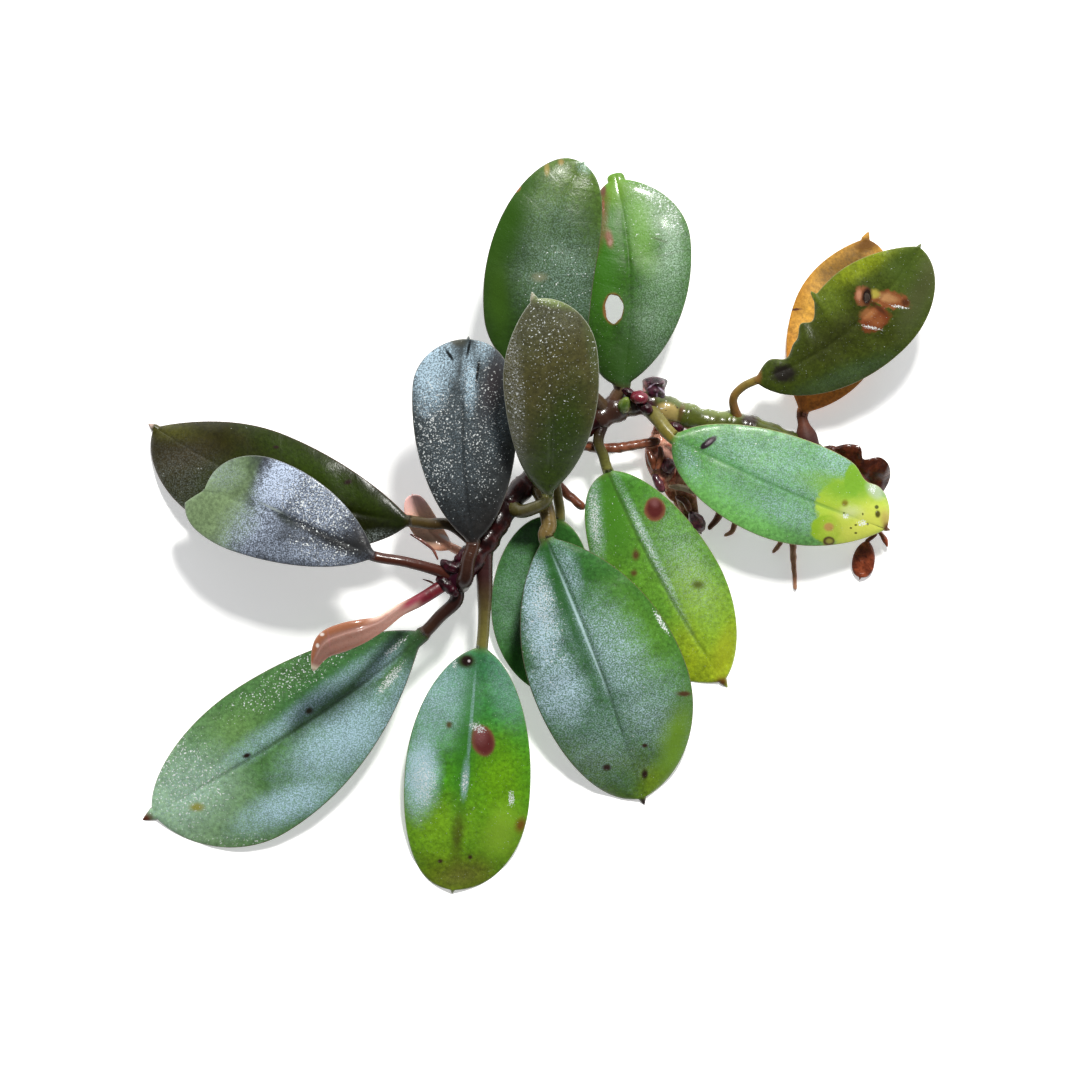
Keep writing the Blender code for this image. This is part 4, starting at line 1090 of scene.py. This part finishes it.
def rolled_profile(turn, share):
    """Section of the rolled young leaf: a thick rolled rim on one side and a groove beside it."""
    body = smooth((share - 0.3) / 0.15) * (1 - smooth((share - 0.9) / 0.08))
    rim = 0.2 * hump(turn, 0.84 * np.pi, 0.28) - 0.3 * hump(turn, 0.66 * np.pi, 0.2)
    rim -= 0.25 * hump(turn, 0.4 * np.pi, 0.5)
    return 1 + body * rim


def small_crown_parts():
    """The young leaf, scale leaves, bud and stump of the crowns."""
    young_route = [
        (-11.9, -7.3, 10.2, 0.9), (-16.6, -10.3, 12.5, 0.9), (-19.5, -11.8, 15.0, 0.9),
        (-22.2, -13.7, 17.0, 1.1), (-24.6, -14.7, 18.0, 1.6), (-27.0, -15.5, 18.0, 1.9),
        (-29.4, -16.5, 17.8, 1.8), (-30.7, -18.1, 17.6, 1.1), (-31.5, -20.2, 17.2, 0.3),
    ]
    young_look = pink_finish(
        "young_leaf_finish", (120, 2, 12), (380, 200, 155), (850, 700, 520),
        patches=[
            ((260, 15, 40), oval(413, 601, 12, 3.4, 35, 1, 0.7, 0.2)),
            # the two small pale ovals on the tip hook are painted highlights
            ((920, 800, 740), oval(323, 634, 2, 1.5, 0, 1, 0.5, 0.1)),
            ((920, 800, 740), oval(318.5, 645, 1.6, 2, 0, 1, 0.5, 0.1)),
            ((1150, 820, 700), oval(388, 609, 18, 3.8, 32, 0.95, 0.7, 0.2)),
            ((450, 200, 180), oval(330, 640, 1, 9, 8, 0.6, 0.6, 0.2)),
        ],
        changes=(0.22, 0.3, 0.95, 0.99), edge=(420, 160, 80), sides=(550, 220, 130),
    )
    young = stem("rolled_young_leaf", young_route, flat=0.55, profile=rolled_profile)
    grown(young, "young_leaf", young_look)
    scale_look = pink_finish(
        "pink_scale_finish", (950, 460, 300), (1150, 700, 500), (1200, 720, 660),
        patches=[
            # this pale oval is a painted highlight
            ((950, 850, 800), oval(446, 538, 7, 2, -28, 1, 0.6, 0.2)),
            ((620, 400, 280), oval(430, 540, 10, 6, -28)),
        ],
        changes=(0.05, 0.4, 0.6, 0.9),
    )
    piece = leaf(
        "pink_scale_leaf",
        [(-9.6, -4.4, 9.4, 0.6), (-11.4, -3.4, 8.6, 0.6)],
        [(-12.4, -2.9, 8.3), (-15.8, -0.2, 8.0), (-17.8, 4.6, 8.8)],
        (2.0, 0.55, 0.5, 0.35), (2.0, 0.55, 0.5, 0.35), fold=0.3, cup=0.1, nib=0.25, rib=0.5,
    )
    grown(piece, "scale_leaf_pink", scale_look)
    bud_route = [(11.7, 16.2, 6.4, 0.8), (11.9, 16.9, 8.2, 0.9), (12.3, 17.9, 9.4, 0.4)]
    bud_look = stem_finish("bud_finish", [(90, 170, 20), (200, 270, 40)], (60, 50, 20))
    grown(stem("green_bud", bud_route, step=0.15), "bud_green", bud_look)
    scale_route = [(13.0, 18.1, 7.4, 0.6), (14.0, 18.0, 8.6, 0.95), (15.4, 17.7, 8.6, 0.55)]
    crimson = pink_finish("crimson_scale_finish", (340, 60, 50), (200, 15, 35), (60, 6, 12))
    piece = stem("crimson_scale", scale_route, step=0.15, lumps=0.06)
    grown(piece, "scale_crimson", crimson)
    stump_route = [(16.0, 17.0, 4.9, 1.5), (16.2, 19.0, 5.3, 1.6), (16.3, 20.8, 5.7, 1.7)]
    stump_look = dead_finish(
        "stump_finish", (12, 2, 6), (110, 25, 50),
        # These patches are painted highlights: pink and lavender glints on the dark wet stump
        patches=[
            ((800, 420, 400), oval(643, 388, 3.4, 6, 0, 0.9, 0.7, 0.4)),
            ((500, 380, 500), oval(651, 386, 4, 0.8, 35, 1, 0.6, 0.9)),
            ((500, 400, 540), oval(662, 390, 4, 0.8, -40, 1, 0.6, 0.9)),
            ((450, 340, 500), oval(657, 396, 0.9, 2.4, 0, 1, 0.6, 0.9)),
        ],
        wet=0.3, dents=0.2,
    )
    grown(stem("cut_stump", stump_route, step=0.15, lumps=0.1), "stem_stump", stump_look)
    bract_look = dead_finish("bract_finish", (120, 30, 20), (300, 100, 70))
    wine_look = dead_finish("wine_bract_finish", (10, 1, 2), (60, 4, 14), wet=0.08)
    bracts = [
        (
            "brown_thread",
            trail(9.0, (410, 534, 0.12), (422, 541, 0.22), (433, 550, 0.2), (438, 560, 0.15)), bract_look,
        ),
        ("pale_thread", trail(10.4, (422.5, 579, 0.07), (431, 582, 0.16), (439, 587, 0.2)), bract_look),
        (
            "crown_bract_1",
            trail(11.6, (441, 560, 0.4), (448, 566, 0.9), (457, 568, 0.8), (464, 562, 0.4)), wine_look,
        ),
        (
            "crown_bract_2",
            trail(11.2, (436, 578, 0.4), (444, 582, 0.9), (452, 590, 0.8), (458, 596, 0.4)), wine_look,
        ),
        ("crown_bract_3", trail(11.0, (466, 548, 0.3), (461, 556, 0.6), (455, 561, 0.5)), wine_look),
        ("middle_bract_1", trail(8.0, (620, 388, 0.3), (628, 392, 0.6), (636, 398, 0.6)), wine_look),
        ("middle_bract_2", trail(8.0, (640, 404, 0.5), (646, 408, 0.8), (652, 413, 0.5)), wine_look),
        ("middle_bract_3", trail(6.6, (668, 424, 0.4), (676, 427, 0.7), (684, 429, 0.4)), wine_look),
    ]
    for name, route, finish in bracts:
        grown(stem(name, route, step=0.12, lumps=0.07, lump_size=2.2), None, finish)


def dead_parts_and_roots():
    """The bare old stalk, the dead sheaths below the pale leaf, and the roots."""
    old_route = [
        (4.4, 12.4, 7.0, 0.75), (6.3, 11.3, 5.6, 0.7), (9.4, 10.9, 4.4, 0.7), (12.6, 11.2, 4.2, 0.7),
        (17.0, 12.0, 4.2, 0.6),
    ]
    old_look = stem_finish("old_stalk_finish", [(130, 35, 15), (300, 100, 50)], (80, 30, 20))
    grown(stem("bare_old_stalk", old_route, lumps=0.08), "old_stalk", old_look)
    sheaths = [
        (
            [(16.4, 13.0, 2.0), (16.9, 9.0, 2.4), (18.0, 4.8, 2.2)], (2.2, 0.5, 0.5, 0.5),
            (1.9, 0.5, 0.5, 0.5),
        ),
        (
            [(19.2, 12.4, 0.9), (19.2, 7.2, 0.8), (19.6, 2.2, 0.4)], (2.3, 0.5, 0.5, 0.5),
            (2.2, 0.5, 0.5, 0.5),
        ),
        (
            [(21.8, 11.8, 3.0), (21.0, 5.4, 2.6), (22.8, -1.2, 0.8)], (1.0, 0.5, 0.5, 0.5),
            (1.9, 0.6, 0.5, 0.4),
        ),
    ]
    sheath_look = dead_finish(
        "sheath_finish", (600, 170, 110), (1300, 720, 520),
        patches=[
            ((1400, 740, 600), oval(668, 452, 8, 5, -5, 1, 0.4)),
            ((500, 160, 120), oval(652, 462, 10, 14, 20, 0.8, 0.8, 0.5)),
            ((35, 8, 14), oval(669, 466, 8, 10, soft=0.6)), ((20, 6, 4), oval(698, 522, 14, 16, soft=0.7)),
            ((300, 120, 50), oval(686, 500, 14, 8, -35, 1, 0.7, 0.4)),
        ],
    )
    for number, (blade, left, right) in enumerate(sheaths, 1):
        x, y, z = blade[0]
        stalk = [(x + 0.6, y + 2.8, 3.8, 0.6), (x + 0.3, y + 1.4, (z + 3.4) / 2, 0.5)]
        flake = leaf(
            f"torn_sheath_{number}", stalk, blade, left, right, wave=0.2, uneven=0.2, rib=0.5, crumple=0.22
        )
        grown(flake, f"dead_sheath_{number}", sheath_look)
    fibre_look = stem_finish("fibre_finish", [(600, 420, 260), (850, 660, 460)], (300, 160, 100))
    wine_look = dead_finish("wine_lump_finish", (50, 10, 20), (220, 60, 80), wet=0.6)
    clump = [
        (
            "cream_fibre", trail(3.9, (668, 486, 0.2), (679, 487, 0.42), (690, 490, 0.45), (697, 494, 0.2)),
            fibre_look,
        ),
        ("wine_lump_1", trail(3.9, (666, 458, 0.6), (669, 465, 1.0), (672, 473, 0.6)), wine_look),
        ("wine_lump_2", trail(3.6, (654, 474, 0.4), (659, 484, 0.7), (664, 492, 0.4)), wine_look),
        ("wine_lump_3", trail(3.2, (690, 512, 0.5), (698, 523, 1.1), (704, 531, 0.5)), wine_look),
        ("red_strand_1", trail(4.1, (660, 446, 0.3), (661, 457, 0.45), (657, 470, 0.3)), old_look),
        ("red_strand_2", trail(3.8, (648, 450, 0.4), (652, 460, 0.6), (654, 470, 0.3)), old_look),
        ("brown_strand", trail(3.6, (676, 496, 0.3), (686, 502, 0.5), (690, 512, 0.3)), old_look),
    ]
    for name, route, finish in clump:
        grown(stem(name, route, step=0.12, lumps=0.07, lump_size=2.4), None, finish)
    root_look = stem_finish("root_finish", [(420, 180, 100), (620, 330, 200)], (240, 90, 50))
    stub_route = [(0.8, 8.0, 7.0, 0.7), (3.4, 5.0, 4.6, 0.65), (6.4, 2.4, 4.4, 0.6)]
    grown(stem("brown_root_stub", stub_route, lumps=0.08), "root_stub", old_look)
    roots = [
        [(34.9, 12.0, 2.2, 0.7), (35.2, 5.0, 0.8, 0.5), (35.6, -2.2, 0.5, 0.5), (36.0, -9.0, 0.3, 0.25)],
        [(32.6, 12.6, 2.4, 0.7), (33.4, 5.0, 0.8, 0.5), (34.0, -1.6, 0.5, 0.4), (32.8, -3.8, 0.3, 0.25)],
        [(28.6, 14.4, 2.8, 0.7), (28.2, 6.0, 0.8, 0.5), (27.4, -0.1, 0.5, 0.4), (26.0, -1.4, 0.3, 0.25)],
        [(25.4, 15.2, 3.2, 0.7), (26.0, 8.0, 0.8, 0.6), (25.4, 2.0, 0.8, 0.55), (23.8, -0.5, 0.6, 0.35)],
    ]
    for number, route in enumerate(roots, 1):
        look = old_look if number == 4 else root_look
        grown(stem(f"thin_root_{number}", route, lumps=0.1), f"root_{number}", look)


# The studio, in metres
FLOOR_REACH = 3.0
FLOOR_GLOW = 0.4
ROOM_LIGHT = 2.1
CEILING_LIGHT = 0.12
DARKEST_WAY = (0.0, -0.22, 0.976)
LAMP_SIZE = 0.12
LAMP_WATTS = 8.6
LAMP_PLACE = (0.125, 0.442, 0.6)
CAMERA_PLACE = (0.00014, -0.00196, 2.4)
SENSOR_MM = 36
LEAF_LEVEL = 0.008  # the height at which the view is VIEW_WIDTH wide
VIEW_WIDTH = 0.1512


def studio():
    """A pale floor, a soft room that is bright low down and dim above, one window lamp and the camera.

    The floor glows a little, so that shadows on it stay pale.
    """
    mesh = bpy.data.meshes.new("pale_floor")
    corners = [(x * FLOOR_REACH, y * FLOOR_REACH, 0) for x, y in ((-1, -1), (1, -1), (1, 1), (-1, 1))]
    mesh.from_pydata(corners, [], [(0, 1, 2, 3)])
    floor = bpy.data.objects.new("pale_floor", mesh)
    bpy.context.scene.collection.objects.link(floor)
    paper = bpy.data.materials.new("pale_floor_finish")
    paper.use_nodes = True
    surface = paper.node_tree.nodes["Principled BSDF"].inputs
    surface["Base Color"].default_value = (0.9, 0.9, 0.9, 1)
    surface["Roughness"].default_value = 0.9
    surface["Emission Color"].default_value = (1, 1, 1, 1)
    surface["Emission Strength"].default_value = FLOOR_GLOW
    mesh.materials.append(paper)

    world = bpy.data.worlds.new("soft_room")
    world.use_nodes = True
    tree = world.node_tree
    background = tree.nodes["Background"]
    background.inputs["Color"].default_value = (0.95, 0.97, 1.0, 1)
    heading = tree.nodes.new("ShaderNodeTexCoord")
    toward_dark = tree.nodes.new("ShaderNodeVectorMath")
    toward_dark.operation = "DOT_PRODUCT"
    toward_dark.inputs[1].default_value = DARKEST_WAY
    fall = tree.nodes.new("ShaderNodeMapRange")
    fall.inputs["From Min"].default_value = 0.05
    fall.inputs["From Max"].default_value = 0.5
    fall.inputs["To Min"].default_value = ROOM_LIGHT
    fall.inputs["To Max"].default_value = CEILING_LIGHT
    tree.links.new(heading.outputs["Generated"], toward_dark.inputs[0])
    tree.links.new(toward_dark.outputs["Value"], fall.inputs["Value"])
    tree.links.new(fall.outputs["Result"], background.inputs["Strength"])
    bpy.context.scene.world = world

    data = bpy.data.lights.new("window_lamp", "AREA")
    data.size = LAMP_SIZE
    data.energy = LAMP_WATTS
    data.color = (1.0, 0.985, 0.95)
    lamp = bpy.data.objects.new("window_lamp", data)
    lamp.location = LAMP_PLACE
    lamp.rotation_euler = (-Vector(lamp.location)).to_track_quat("-Z", "Y").to_euler()
    bpy.context.scene.collection.objects.link(lamp)

    data = bpy.data.cameras.new("camera")
    camera = bpy.data.objects.new("camera", data)
    data.sensor_width = SENSOR_MM
    data.lens = SENSOR_MM * (CAMERA_PLACE[2] - LEAF_LEVEL) / VIEW_WIDTH
    data.clip_end = 20
    camera.location = CAMERA_PLACE
    bpy.context.scene.collection.objects.link(camera)
    bpy.context.scene.camera = camera
    bpy.context.scene.view_settings.view_transform = "Standard"


rhizome()
left_crown_leaves()
left_rhizome_leaves()
middle_crown_leaves()
right_rhizome_leaves()
small_crown_parts()
dead_parts_and_roots()
studio()
